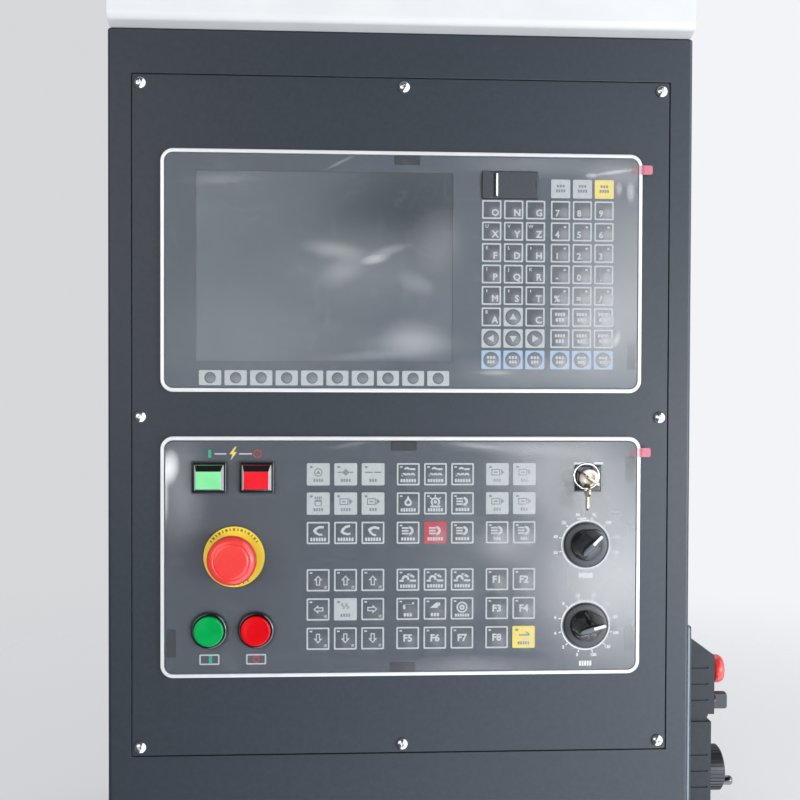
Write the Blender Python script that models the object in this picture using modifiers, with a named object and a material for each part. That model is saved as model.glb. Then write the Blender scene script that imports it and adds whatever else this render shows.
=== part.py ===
"""Operator control station of a CNC turning lathe.

A dark sheet-metal console under a pale hood carries a display unit above an operator
unit, both on one screwed front plate, and a handwheel pendant on its right side.
Sizes are in metres. The origin is the centre of the console's base, the front plate
faces -Y and +Z is up. Places on the front are measured from the middle of the strip
between the two units, and heights above the front plate count towards the operator.
"""
import math

import bmesh
import bpy

# Fits shared by every piece
SEAT_GAP = 0.0003
RUN_GAP = 0.0003

# Console cabinet
CABINET_DEPTH = 0.180
WALL = 0.0025
BEND = 0.0030
SHELL_EDGE = 0.0015
LEDGE_WIDTH = 0.018
LEDGE_THICKNESS = 0.0025
FRAME_LAP = 0.005
REAR_LIP = 0.026
REAR_COVER_LAP = 0.013
REAR_COVER_THICKNESS = 0.0015
REAR_COVER_FOLD = 0.006
REAR_COVER_CORNER = 0.0040

# Hood over the console
HOOD_INSET = 0.0020
HOOD_HEIGHT = 0.060
HOOD_OVERHANG = 0.014
HOOD_LIP_RISE = 0.0040
HOOD_LIP_RADIUS = 0.0050
HOOD_TOP_RADIUS = 0.0080
HOOD_WALL = 0.0020

# Front plate and its screws
PLATE_SIDE_MARGIN = 0.0200
PLATE_TOP_MARGIN = 0.03745
PLATE_FOOT_MARGIN = 0.09305
PLATE_DROP = 0.0022
PLATE_THICKNESS = 0.0020
PLATE_CORNER = 0.0015
PLATE_SEAM = 0.0010
SCREW_INSET_X = 0.0065
SCREW_INSET_TOP = 0.0068
SCREW_HEAD_RADIUS = 0.0051
SCREW_HEAD_HEIGHT = 0.0029
SCREW_SHANK_RADIUS = 0.0024
SCREW_LENGTH = 0.011

# Both units
UNIT_STRIP = 0.0364
UNIT_SIDE_MARGIN = 0.02325
UNIT_END_MARGIN = 0.06255
UNIT_CORNER = 0.0105
UNIT_THICKNESS = 0.0037
UNIT_EDGE = 0.0010
UNIT_RIM = 0.0031
UNIT_POCKET_DEPTH = 0.0014
OVERLAY_THICKNESS = 0.0006
KEY_RISE = 0.0004
FILM_THICKNESS = 0.0003
FILM_MARGIN = 0.0012
TAB_WIDTH = 0.0175
TAB_HEIGHT = 0.0076
TAB_OVERHANG = 0.0080
TAB_DROP = 0.0131
TAB_CORNER = 0.0015
UNIT_LAP = 0.0070
CASE_GAP = 0.0010
CASE_CORNER = 0.0020

# Display unit
SCREEN_WIDTH = 0.2110
SCREEN_HEIGHT = 0.1560
SCREEN_LEFT_MARGIN = 0.02875
SCREEN_TOP_MARGIN = 0.0176
SCREEN_TO_KEYS = 0.02415
SCREEN_TO_SOFT_KEYS = 0.00745
SCREEN_BORDER = 0.0035
SCREEN_DEPTH = 0.0100
DISPLAY_CASE_DEPTH = 0.060
SOFT_KEY_COUNT = 10
SOFT_KEY_PITCH = 0.02083
SOFT_KEY_FOOT_MARGIN = 0.00565
SOFT_KEY_WIDTH = 0.0182
SOFT_KEY_HEIGHT = 0.0123
LETTER_PITCH_X = 0.0183
LETTER_PITCH_Z = 0.01776
LETTER_FOOT_MARGIN = 0.01975
LETTER_ROWS = 8
LETTER_COLUMNS = 3
LETTER_WIDTH = 0.0161
LETTER_HEIGHT = 0.0155
KEY_BLOCK_GAP = 0.0048
KEYS_RIGHT_MARGIN = 0.0244

# Port cover on the display unit
PORT_TO_KEYS = 0.0013
PORT_WIDTH = 0.0462
PORT_HEIGHT = 0.0224
PORT_FLANGE = 0.0012
PORT_BODY_MARGIN = 0.0030
PORT_DEPTH = 0.0160
PORT_CHEEK_WIDTH = 0.0106
PORT_CHEEK_RISE = 0.0020
PORT_WELL_WIDTH = 0.0240
PORT_WELL_HEIGHT = 0.0130
PORT_WELL_DEPTH = 0.0120
LID_THICKNESS = 0.0015
LID_PIN_RADIUS = 0.0006
LID_BARREL_RADIUS = 0.0011
LID_EAR = 0.0016

# Membrane keys of the operator unit
PANEL_KEY_WIDTH = 0.0189
PANEL_KEY_HEIGHT = 0.0184
PANEL_KEY_PITCH_X = 0.0226
PANEL_KEY_PITCH_Z = 0.02424
PANEL_KEY_ROWS = 3
PANEL_KEY_COLUMNS = 3
FUNCTION_KEY_COLUMNS = 2
PANEL_BLOCK_GAP_X = 0.0102
PANEL_BLOCK_GAP_Z = 0.02072
PANEL_KEYS_LEFT_MARGIN = 0.1197
PANEL_KEYS_TOP_MARGIN = 0.0220
OPERATOR_CASE_WIDTH = 0.2080
OPERATOR_CASE_HEIGHT = 0.1780
OPERATOR_CASE_DEPTH = 0.032
OPERATOR_CASE_SHIFT = 0.0160

# Square power buttons
POWER_LEFT_MARGIN = 0.04015
POWER_SPACING = 0.0387
POWER_TOP_MARGIN = 0.0336
POWER_WIDTH = 0.0276
POWER_HEIGHT = 0.0250
POWER_RISE = 0.0038
POWER_CORNER = 0.0012
POWER_EDGE = 0.0004
POWER_WALL = 0.0015
POWER_FLOOR = 0.0008
POWER_TRAVEL = 0.0025
POWER_BODY_MARGIN = 0.0022
POWER_DEPTH = 0.026
POWER_FACE_WIDTH = 0.0203
POWER_FACE_HEIGHT = 0.0148
POWER_FACE_DROP = 0.0019
POWER_CAP_BASE = 0.0014
POWER_CAP_HEIGHT = 0.0056
POWER_STEM = 0.0120
POWER_STEM_LENGTH = 0.0080

# Round buttons
ROUND_LEFT_MARGIN = 0.04015
ROUND_SPACING = 0.0382
ROUND_TOP_MARGIN = 0.1594
ROUND_BEZEL_RADIUS = 0.0149
ROUND_BEZEL_RISE = 0.0044
ROUND_CAP_RADIUS = 0.01225
ROUND_CAP_HEIGHT = 0.0036
ROUND_TRAVEL = 0.0030
ROUND_FLOOR = 0.0008
ROUND_STEM_RADIUS = 0.0060
ROUND_STEM_LENGTH = 0.0160
ROUND_BARREL_RADIUS = 0.0110
ROUND_DEPTH = 0.0180

# Things shared by what is clamped through the operator unit
NUT_HEIGHT = 0.0040
NUT_LIP = 0.0030
CONTACT_BLOCK_WIDTH = 0.0240
CONTACT_BLOCK_HEIGHT = 0.0300
CONTACT_BLOCK_DEPTH = 0.0260

# Emergency stop
STOP_LEFT_MARGIN = 0.06025
STOP_TOP_MARGIN = 0.0990
STOP_DISC_RADIUS = 0.0250
STOP_DISC_THICKNESS = 0.0010
STOP_COLLAR_RADIUS = 0.0140
STOP_COLLAR_HEIGHT = 0.0042
STOP_BARREL_RADIUS = 0.0110
STOP_DEPTH = 0.0180
STOP_PLUNGER_RADIUS = 0.0065
STOP_PLUNGER_REACH = 0.0080
STOP_SOCKET_DEPTH = 0.0100
STOP_TRAVEL = 0.0050
STOP_HEAD_RADIUS = 0.0200
STOP_HEAD_HEIGHT = 0.0140
STOP_HEAD_CLEARANCE = 0.0068

# Key switch with its keys
LOCK_RIGHT_MARGIN = 0.04495
LOCK_TOP_MARGIN = 0.0346
LOCK_WIDTH = 0.0200
LOCK_RISE = 0.0034
LOCK_CORNER = 0.0008
LOCK_EDGE = 0.0004
LOCK_BARREL_RADIUS = 0.0092
LOCK_DEPTH = 0.0200
ROTOR_RADIUS = 0.0080
ROTOR_RISE = 0.0068
ROTOR_REACH = 0.0120
KEY_ANGLE = math.radians(-36)
KEY_THICKNESS = 0.0018
KEY_BLADE_WIDTH = 0.0062
KEY_BLADE_LENGTH = 0.0115
KEY_BOW_WIDTH = 0.0180
KEY_BOW_LENGTH = 0.0105
KEY_SLOT_WIDTH = 0.0130
KEY_SLOT_HEIGHT = 0.0042
KEY_SLOT_CORNER = 0.0012
KEY_TOOTH_COUNT = 4
KEY_TOOTH_DEPTH = 0.0010
RING_RADIUS = 0.0103
RING_WIRE_RADIUS = 0.0008

# Override switches
OVERRIDE_RIGHT_MARGIN = 0.04605
SPINDLE_TOP_MARGIN = 0.0903
OVERRIDE_SPACING = 0.0676
KNOB_SKIRT_RADIUS = 0.0180
KNOB_SKIRT_HEIGHT = 0.0022
KNOB_BODY_RADIUS = 0.0150
KNOB_BODY_HEIGHT = 0.0050
KNOB_GRIP_LENGTH = 0.0310
KNOB_GRIP_WIDTH = 0.0085
KNOB_GRIP_HEIGHT = 0.0190
KNOB_SHAFT_RADIUS = 0.0030
KNOB_SHAFT_LENGTH = 0.0180
SPINDLE_POINTER = math.radians(-45)
FEED_POINTER = math.radians(-75)
SWITCH_BUSH_RADIUS = 0.0047
SWITCH_BODY_RADIUS = 0.0150
SWITCH_BODY_DEPTH = 0.0240

# Handwheel pendant, with depths counted from the cabinet's front
PENDANT_DEPTH_START = 0.020
PENDANT_WIDTH = 0.080
PENDANT_TOP_Z = -0.207
PENDANT_HEIGHT = 0.145
PENDANT_UPPER_THICKNESS = 0.0260
PENDANT_LOWER_THICKNESS = 0.0234
PENDANT_BOTTOM_RADIUS = 0.0140
PENDANT_TOP_RADIUS = 0.0040
PENDANT_EDGE = 0.0015
PENDANT_WAIST_DROP = 0.053
PENDANT_WAIST_HEIGHT = 0.0066
PENDANT_WAIST_DEPTH = 0.0030
PENDANT_RIB_COUNT = 3
PENDANT_RIB_PITCH = 0.0140
PENDANT_RIB_HEIGHT = 0.0014
PENDANT_RIB_DEPTH = 0.0010
HANGER_FRONT = 0.003
HANGER_WIDTH = 0.112
HANGER_THICKNESS = 0.0030
HANGER_CORNER = 0.0020
HANGER_RISE = 0.0275
HANGER_HEIGHT = 0.182
PENDANT_STOP_DROP = 0.024
PENDANT_STOP_COLLAR_RADIUS = 0.0100
PENDANT_STOP_COLLAR_HEIGHT = 0.0035
PENDANT_STOP_HEAD_RADIUS = 0.0125
PENDANT_STOP_HEAD_HEIGHT = 0.0112
PENDANT_STOP_CLEARANCE = 0.0055
PENDANT_STOP_TRAVEL = 0.0040
PENDANT_STOP_STEM_RADIUS = 0.0040
PENDANT_STOP_STEM_REACH = 0.0050
PENDANT_STOP_SOCKET = 0.0070
SELECTOR_DROP = 0.046
SELECTOR_SPACING = 0.044
SELECTOR_RADIUS = 0.0075
SELECTOR_SKIRT_RADIUS = 0.0095
SELECTOR_SKIRT_HEIGHT = 0.0020
SELECTOR_HEIGHT = 0.0160
SELECTOR_SHAFT_RADIUS = 0.0030
SELECTOR_SHAFT_LENGTH = 0.0080
WHEEL_DROP = 0.1135
DIAL_RADIUS = 0.0210
DIAL_THICKNESS = 0.0042
DIAL_BORE = 0.0060
WHEEL_RADIUS = 0.0200
WHEEL_THICKNESS = 0.0160
WHEEL_KNURLS = 36
WHEEL_KNURL_DEPTH = 0.0007
WHEEL_EDGE = 0.0014
WHEEL_SHAFT_RADIUS = 0.0030
WHEEL_SHAFT_LENGTH = 0.0120
CRANK_OFFSET = 0.0125
CRANK_RADIUS = 0.0042
CRANK_HEIGHT = 0.0125
CRANK_PIN_RADIUS = 0.0015
CRANK_PIN_LENGTH = 0.0090
GLAND_RADIUS = 0.0045
GLAND_NUT_RADIUS = 0.0058
GLAND_LENGTH = 0.0120
GLAND_THREAD = 0.0060
GLAND_NUT_HEIGHT = 0.0060
GLAND_BORE_RADIUS = 0.0034
GLAND_BORE_DEPTH = 0.0142
GLAND_INSET = 0.0062

# Heights above the front plate, from the plate outwards
UNIT_FRONT = SEAT_GAP + UNIT_THICKNESS
POCKET_FLOOR = UNIT_FRONT - UNIT_POCKET_DEPTH
OVERLAY_BACK = POCKET_FLOOR + SEAT_GAP
OVERLAY_FRONT = OVERLAY_BACK + OVERLAY_THICKNESS
KEY_TOP = OVERLAY_FRONT + KEY_RISE
FILM_BACK = max(KEY_TOP, UNIT_FRONT) + SEAT_GAP
FILM_FRONT = FILM_BACK + FILM_THICKNESS
TAB_BACK = FILM_FRONT + SEAT_GAP
SEAT = OVERLAY_FRONT + SEAT_GAP

# The display unit's contents set the size of both units, of the plate and of the cabinet
KEY_BLOCK = LETTER_PITCH_X * (LETTER_COLUMNS - 1) + LETTER_WIDTH
KEYS_WIDTH = 2 * KEY_BLOCK + KEY_BLOCK_GAP
UNIT_WIDTH = SCREEN_LEFT_MARGIN + SCREEN_WIDTH + SCREEN_TO_KEYS + KEYS_WIDTH + KEYS_RIGHT_MARGIN
SOFT_ROW = SOFT_KEY_FOOT_MARGIN + SOFT_KEY_HEIGHT + SCREEN_TO_SOFT_KEYS
UNIT_HEIGHT = SOFT_ROW + SCREEN_HEIGHT + SCREEN_TOP_MARGIN
PLATE_WIDTH = UNIT_WIDTH + 2 * UNIT_SIDE_MARGIN
PLATE_HEIGHT = UNIT_STRIP + 2 * UNIT_HEIGHT + 2 * UNIT_END_MARGIN
UNIT_STRIP_HEIGHT = PLATE_FOOT_MARGIN + PLATE_HEIGHT / 2 + PLATE_DROP
CABINET_WIDTH = PLATE_WIDTH + 2 * PLATE_SIDE_MARGIN
CABINET_HEIGHT = PLATE_FOOT_MARGIN + PLATE_HEIGHT + PLATE_TOP_MARGIN
HOOD_WIDTH = CABINET_WIDTH - 2 * HOOD_INSET

# Places on the display unit
DISPLAY_Z = (UNIT_STRIP + UNIT_HEIGHT) / 2
DISPLAY_FOOT = UNIT_STRIP / 2
SCREEN_X = -UNIT_WIDTH / 2 + SCREEN_LEFT_MARGIN + SCREEN_WIDTH / 2
SCREEN_Z = DISPLAY_FOOT + SOFT_ROW + SCREEN_HEIGHT / 2
SOFT_KEY_FIRST_X = SCREEN_X - SOFT_KEY_PITCH * (SOFT_KEY_COUNT - 1) / 2
SOFT_KEY_Z = DISPLAY_FOOT + SOFT_KEY_FOOT_MARGIN + SOFT_KEY_HEIGHT / 2
LETTERS_LEFT = SCREEN_X + SCREEN_WIDTH / 2 + SCREEN_TO_KEYS
LETTER_FIRST_X = LETTERS_LEFT + LETTER_WIDTH / 2
NUMBER_FIRST_X = LETTER_FIRST_X + KEY_BLOCK + KEY_BLOCK_GAP
LETTER_FIRST_Z = DISPLAY_FOOT + LETTER_FOOT_MARGIN + LETTER_HEIGHT / 2
LETTERS_TOP = LETTER_FIRST_Z + LETTER_PITCH_Z * (LETTER_ROWS - 1) + LETTER_HEIGHT / 2
PORT_X = LETTERS_LEFT + PORT_WIDTH / 2
PORT_Z = LETTERS_TOP + PORT_TO_KEYS + PORT_HEIGHT / 2

# Places on the operator unit, from its upper edge and its two sides
OPERATOR_Z = -DISPLAY_Z
OPERATOR_TOP = -UNIT_STRIP / 2
OPERATOR_LEFT = -UNIT_WIDTH / 2
OPERATOR_RIGHT = UNIT_WIDTH / 2
PANEL_BLOCK = PANEL_KEY_PITCH_X * (PANEL_KEY_COLUMNS - 1) + PANEL_KEY_WIDTH
MODE_KEYS_X = OPERATOR_LEFT + PANEL_KEYS_LEFT_MARGIN + PANEL_KEY_WIDTH / 2
AXIS_KEYS_X = MODE_KEYS_X + PANEL_BLOCK + PANEL_BLOCK_GAP_X
FUNCTION_KEYS_X = AXIS_KEYS_X + PANEL_BLOCK + PANEL_BLOCK_GAP_X
UPPER_KEYS_Z = OPERATOR_TOP - PANEL_KEYS_TOP_MARGIN - PANEL_KEY_HEIGHT / 2
PANEL_ROWS = PANEL_KEY_PITCH_Z * (PANEL_KEY_ROWS - 1) + PANEL_KEY_HEIGHT
LOWER_KEYS_Z = UPPER_KEYS_Z - PANEL_ROWS - PANEL_BLOCK_GAP_Z
POWER_ON_X = OPERATOR_LEFT + POWER_LEFT_MARGIN
POWER_OFF_X = POWER_ON_X + POWER_SPACING
POWER_Z = OPERATOR_TOP - POWER_TOP_MARGIN
CYCLE_START_X = OPERATOR_LEFT + ROUND_LEFT_MARGIN
FEED_HOLD_X = CYCLE_START_X + ROUND_SPACING
ROUND_Z = OPERATOR_TOP - ROUND_TOP_MARGIN
STOP_X = OPERATOR_LEFT + STOP_LEFT_MARGIN
STOP_Z = OPERATOR_TOP - STOP_TOP_MARGIN
LOCK_X = OPERATOR_RIGHT - LOCK_RIGHT_MARGIN
LOCK_Z = OPERATOR_TOP - LOCK_TOP_MARGIN
OVERRIDE_X = OPERATOR_RIGHT - OVERRIDE_RIGHT_MARGIN
SPINDLE_Z = OPERATOR_TOP - SPINDLE_TOP_MARGIN
FEED_Z = SPINDLE_Z - OVERRIDE_SPACING

# Places on the console's side
SIDE = CABINET_WIDTH / 2
PENDANT_BACK = HANGER_THICKNESS + 2 * SEAT_GAP
PENDANT_FACE = PENDANT_BACK + PENDANT_UPPER_THICKNESS
PENDANT_LOWER_FACE = PENDANT_BACK + PENDANT_LOWER_THICKNESS
PENDANT_MIDDLE = PENDANT_DEPTH_START + PENDANT_WIDTH / 2
CUT_SLACK = 0.010


def clear_scene():
    for item in list(bpy.data.objects):
        bpy.data.objects.remove(item, do_unlink=True)


def new_collection(name):
    made = bpy.data.collections.new(name)
    bpy.context.scene.collection.children.link(made)
    return made


def material(name, colour, roughness, metallic=0.0):
    made = bpy.data.materials.new(name)
    made.use_nodes = True
    shader = made.node_tree.nodes["Principled BSDF"]
    shader.inputs["Base Color"].default_value = (*colour, 1.0)
    shader.inputs["Roughness"].default_value = roughness
    shader.inputs["Metallic"].default_value = metallic
    return made


def face_frame(name, place, turn):
    """An empty whose local Z points out of a face, with local Y up."""
    frame = bpy.data.objects.new(name, None)
    PARTS.objects.link(frame)
    frame.location = place
    frame.rotation_euler = turn
    return frame


def add_part(name, mesh, finish, parent, place):
    part = bpy.data.objects.new(name, mesh)
    PARTS.objects.link(part)
    if finish is not None:
        mesh.materials.append(finish)
    part.parent = parent
    part.location = place
    return part


def slab(name, finish, parent, centre, size, back, front, corner=0.0, edge=0.0, steps=4):
    """A plate about `centre`, from height `back` to `front`, with round corners and front edge."""
    form = bmesh.new()
    bmesh.ops.create_cube(form, size=1.0)
    bmesh.ops.scale(form, vec=(size[0], size[1], front - back), verts=form.verts)
    bmesh.ops.translate(form, vec=(0.0, 0.0, (front + back) / 2), verts=form.verts)
    if corner > 0.0:
        upright = [line for line in form.edges if abs(line.verts[0].co.z - line.verts[1].co.z) > 1e-7]
        bmesh.ops.bevel(form, geom=upright, offset=corner, segments=steps, profile=0.5, affect="EDGES")
    if edge > 0.0:
        rim = [line for line in form.edges if min(end.co.z for end in line.verts) > front - 1e-7]
        bmesh.ops.bevel(form, geom=rim, offset=edge, segments=2, profile=0.5, affect="EDGES")
    mesh = bpy.data.meshes.new(name)
    form.to_mesh(mesh)
    form.free()
    return add_part(name, mesh, finish, parent, (centre[0], centre[1], 0.0))


def turned(name, finish, parent, centre, profile, steps=20, ring=False):
    """A turned piece: the profile of (radius, height) runs down its outer side."""
    count = len(profile)
    lines = [(index, index + 1) for index in range(count - 1)]
    if ring:
        lines.append((count - 1, 0))
    mesh = bpy.data.meshes.new(name)
    mesh.from_pydata([(radius, 0.0, height) for radius, height in profile], lines, [])
    part = add_part(name, mesh, finish, parent, (centre[0], centre[1], 0.0))
    screw = part.modifiers.new("Turn", "SCREW")
    screw.steps = steps
    screw.render_steps = steps
    screw.use_merge_vertices = True
    screw.merge_threshold = 0.00001
    return part


def outline_mesh(name, points, thickness):
    """A flat outline filled and thickened about its plane, with its caps welded on."""
    curve = bpy.data.curves.new(name, "CURVE")
    curve.dimensions = "2D"
    curve.fill_mode = "BOTH"
    curve.extrude = thickness / 2
    spline = curve.splines.new("POLY")
    spline.points.add(len(points) - 1)
    for point, (x, y) in zip(spline.points, points):
        point.co = (x, y, 0.0, 1.0)
    spline.use_cyclic_u = True
    holder = bpy.data.objects.new(name, curve)
    PARTS.objects.link(holder)
    drawn = holder.evaluated_get(bpy.context.evaluated_depsgraph_get())
    mesh = bpy.data.meshes.new_from_object(drawn)
    bpy.data.objects.remove(holder)
    form = bmesh.new()
    form.from_mesh(mesh)
    bmesh.ops.remove_doubles(form, verts=form.verts, dist=0.000001)
    bmesh.ops.recalc_face_normals(form, faces=form.faces)
    form.to_mesh(mesh)
    form.free()
    return mesh


def arc(centre, radius, start, end, steps):
    """Points of an arc between two angles in degrees."""
    points = []
    for index in range(steps + 1):
        angle = math.radians(start + (end - start) * index / steps)
        points.append((centre[0] + radius * math.cos(angle), centre[1] + radius * math.sin(angle)))
    return points


def combine(part, tool, operation):
    """Cuts or extends a part with a tool, which stays as a wire guide."""
    PARTS.objects.unlink(tool)
    TOOLS.objects.link(tool)
    tool.display_type = "WIRE"
    tool.hide_render = True
    boolean = part.modifiers.new(tool.name, "BOOLEAN")
    boolean.operation = operation
    boolean.object = tool


def cut(part, tool):
    combine(part, tool, "DIFFERENCE")


def fuse(part, tool):
    combine(part, tool, "UNION")


def rod(name, finish, parent, centre, radius, back, front, steps=16):
    profile = [(0.0, front), (radius, front), (radius, back), (0.0, back)]
    return turned(name, finish, parent, centre, profile, steps)


def many(name, places, shape):
    """One tool mesh that repeats `shape` at each place; the copies don't touch."""
    form = bmesh.new()
    for x, z in places:
        first = len(form.verts)
        form.from_mesh(shape)
        form.verts.ensure_lookup_table()
        bmesh.ops.translate(form, vec=(x, z, 0.0), verts=form.verts[first:])
    mesh = bpy.data.meshes.new(name)
    form.to_mesh(mesh)
    form.free()
    return mesh


def box_mesh(width, height, back, front):
    form = bmesh.new()
    bmesh.ops.create_cube(form, size=1.0)
    bmesh.ops.scale(form, vec=(width, height, front - back), verts=form.verts)
    bmesh.ops.translate(form, vec=(0.0, 0.0, (front + back) / 2), verts=form.verts)
    mesh = bpy.data.meshes.new("box")
    form.to_mesh(mesh)
    form.free()
    return mesh


def rod_mesh(radius, back, front, steps=16):
    form = bmesh.new()
    bmesh.ops.create_cone(
        form, cap_ends=True, segments=steps, radius1=radius, radius2=radius, depth=front - back
    )
    bmesh.ops.translate(form, vec=(0.0, 0.0, (front + back) / 2), verts=form.verts)
    mesh = bpy.data.meshes.new("rod")
    form.to_mesh(mesh)
    form.free()
    return mesh


def screw_places():
    """Three screws along the plate's top, two at its middle and three along its bottom."""
    side = PLATE_WIDTH / 2 - SCREW_INSET_X
    rise = PLATE_HEIGHT / 2 - SCREW_INSET_TOP
    top = [(x, rise - PLATE_DROP) for x in (-side, 0.0, side)]
    middle = [(x, -PLATE_DROP) for x in (-side, side)]
    bottom = [(x, -rise - PLATE_DROP) for x in (-side, 0.0, side)]
    return top + middle + bottom


def cabinet():
    """Folded sheet-metal box with a joggled seat for the front plate and an open back."""
    shell = slab(
        "cabinet_shell", CHARCOAL, None, (0.0, 0.0), (CABINET_WIDTH, CABINET_DEPTH),
        0.0, CABINET_HEIGHT, corner=BEND, edge=SHELL_EDGE, steps=3,
    )
    inside = (CABINET_WIDTH - 2 * WALL, CABINET_DEPTH - 2 * WALL)
    cut(shell, slab("cabinet_hollow", None, None, (0.0, 0.0), inside, WALL, CABINET_HEIGHT - WALL))

    middle = (0.0, -PLATE_DROP)
    seat_depth = PLATE_THICKNESS + SEAT_GAP
    opening = (PLATE_WIDTH + 2 * PLATE_SEAM, PLATE_HEIGHT + 2 * PLATE_SEAM)
    around = (opening[0] + 2 * FRAME_LAP, opening[1] + 2 * FRAME_LAP)
    ledge_back = -seat_depth - LEDGE_THICKNESS
    fuse(shell, slab("plate_frame", None, PANEL, middle, around, ledge_back, -WALL / 2))
    cut(shell, slab("plate_seat", None, PANEL, middle, opening, -seat_depth, CUT_SLACK))
    window = (opening[0] - 2 * LEDGE_WIDTH, opening[1] - 2 * LEDGE_WIDTH)
    cut(shell, slab("plate_window", None, PANEL, middle, window, ledge_back - CUT_SLACK, CUT_SLACK))
    hole = rod_mesh(SCREW_SHANK_RADIUS + RUN_GAP, ledge_back - CUT_SLACK, CUT_SLACK, 10)
    cut(shell, add_part("ledge_holes", many("ledge_holes", screw_places(), hole), None, PANEL, (0, 0, 0)))

    box_middle = (0.0, CABINET_HEIGHT / 2 - UNIT_STRIP_HEIGHT)
    back = (CABINET_WIDTH - 2 * REAR_LIP, CABINET_HEIGHT - 2 * REAR_LIP)
    inner_face = -CABINET_DEPTH + 2 * WALL
    cut(shell, slab("back_opening", None, PANEL, box_middle, back, -CABINET_DEPTH - CUT_SLACK, inner_face))

    cover_size = (back[0] + 2 * REAR_COVER_LAP, back[1] + 2 * REAR_COVER_LAP)
    outer = -CABINET_DEPTH - SEAT_GAP
    cover = slab(
        "rear_cover", CHARCOAL, PANEL, box_middle, cover_size,
        outer - REAR_COVER_THICKNESS, outer, corner=REAR_COVER_CORNER, steps=3,
    )
    fold = (back[0] - 2 * CASE_GAP, back[1] - 2 * CASE_GAP)
    fuse(cover, slab("cover_fold", None, PANEL, box_middle, fold, outer - REAR_COVER_THICKNESS / 2,
                     outer + REAR_COVER_FOLD))
    dish = (fold[0] - 2 * REAR_COVER_THICKNESS, fold[1] - 2 * REAR_COVER_THICKNESS)
    cut(cover, slab("cover_dish", None, PANEL, box_middle, dish, outer, outer + CUT_SLACK))


def hood():
    """Pale folded hood; its soffit rises to a rolled front lip and its top front edge is round."""
    base = CABINET_HEIGHT + SEAT_GAP
    front = -CABINET_DEPTH / 2 - HOOD_OVERHANG
    top = base + HOOD_HEIGHT
    lip = (front + HOOD_LIP_RADIUS, base + HOOD_LIP_RISE + HOOD_LIP_RADIUS)
    crown = (front + HOOD_TOP_RADIUS, top - HOOD_TOP_RADIUS)
    outline = [(CABINET_DEPTH / 2, base), (-CABINET_DEPTH / 2, base)]
    outline += arc(lip, HOOD_LIP_RADIUS, 270, 180, 5)
    outline += arc(crown, HOOD_TOP_RADIUS, 180, 90, 5)
    outline += [(CABINET_DEPTH / 2, top)]
    mesh = outline_mesh("top_hood", outline, HOOD_WIDTH)
    cover = add_part("top_hood", mesh, PALE, None, (0.0, 0.0, 0.0))
    cover.rotation_euler = (math.pi / 2, 0.0, math.pi / 2)
    hollow = (HOOD_WIDTH - 2 * HOOD_WALL, CABINET_DEPTH - 2 * HOOD_WALL)
    cut(cover, slab("hood_hollow", None, None, (0.0, 0.0), hollow, base - CUT_SLACK, top - HOOD_WALL))


def front_plate():
    plate = slab(
        "panel_plate", CHARCOAL, PANEL, (0.0, -PLATE_DROP), (PLATE_WIDTH, PLATE_HEIGHT),
        -PLATE_THICKNESS, 0.0, corner=PLATE_CORNER, steps=2,
    )
    opening = (UNIT_WIDTH - 2 * UNIT_LAP, UNIT_HEIGHT - 2 * UNIT_LAP)
    for name, height in (("display_opening", DISPLAY_Z), ("operator_opening", OPERATOR_Z)):
        cut(plate, slab(name, None, PANEL, (0.0, height), opening, -CUT_SLACK, CUT_SLACK))
    hole = rod_mesh(SCREW_SHANK_RADIUS + RUN_GAP, -CUT_SLACK, CUT_SLACK, 10)
    cut(plate, add_part("plate_holes", many("plate_holes", screw_places(), hole), None, PANEL, (0, 0, 0)))

    head = SEAT_GAP + SCREW_HEAD_HEIGHT
    profile = [
        (0.0, head),
        (SCREW_HEAD_RADIUS * 0.50, head - SCREW_HEAD_HEIGHT * 0.10),
        (SCREW_HEAD_RADIUS * 0.85, head - SCREW_HEAD_HEIGHT * 0.42),
        (SCREW_HEAD_RADIUS, head - SCREW_HEAD_HEIGHT * 0.85),
        (SCREW_HEAD_RADIUS, SEAT_GAP),
        (SCREW_SHANK_RADIUS, SEAT_GAP),
        (SCREW_SHANK_RADIUS, SEAT_GAP - SCREW_LENGTH),
        (0.0, SEAT_GAP - SCREW_LENGTH),
    ]
    for number, place in enumerate(screw_places(), start=1):
        turned(f"panel_screw_{number}", BRIGHT, PANEL, place, profile, steps=12)


def unit_frame(name, height):
    """Bright-edged faceplate of a unit, with the pocket that holds its overlay."""
    frame = slab(
        name, BRIGHT, PANEL, (0.0, height), (UNIT_WIDTH, UNIT_HEIGHT),
        SEAT_GAP, UNIT_FRONT, corner=UNIT_CORNER, edge=UNIT_EDGE, steps=5,
    )
    pocket = (UNIT_WIDTH - 2 * UNIT_RIM, UNIT_HEIGHT - 2 * UNIT_RIM)
    cut(frame, slab(
        name + "_pocket", None, PANEL, (0.0, height), pocket,
        POCKET_FLOOR, CUT_SLACK, corner=UNIT_CORNER - UNIT_RIM, steps=4,
    ))
    return frame


def unit_overlay(name, height, keys):
    """Keypad overlay: one moulded sheet whose keys stand a little proud of it."""
    width = UNIT_WIDTH - 2 * UNIT_RIM - 2 * SEAT_GAP
    tall = UNIT_HEIGHT - 2 * UNIT_RIM - 2 * SEAT_GAP
    overlay = slab(
        name, GRAPHITE, PANEL, (0.0, height), (width, tall),
        OVERLAY_BACK, OVERLAY_FRONT, corner=UNIT_CORNER - UNIT_RIM - SEAT_GAP, steps=4,
    )
    for number, (places, size) in enumerate(keys):
        pad = box_mesh(size[0], size[1], (OVERLAY_BACK + OVERLAY_FRONT) / 2, KEY_TOP)
        tool = f"{name}_keys_{number}"
        fuse(overlay, add_part(tool, many(tool, places, pad), None, PANEL, (0, 0, 0)))
    return overlay


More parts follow.
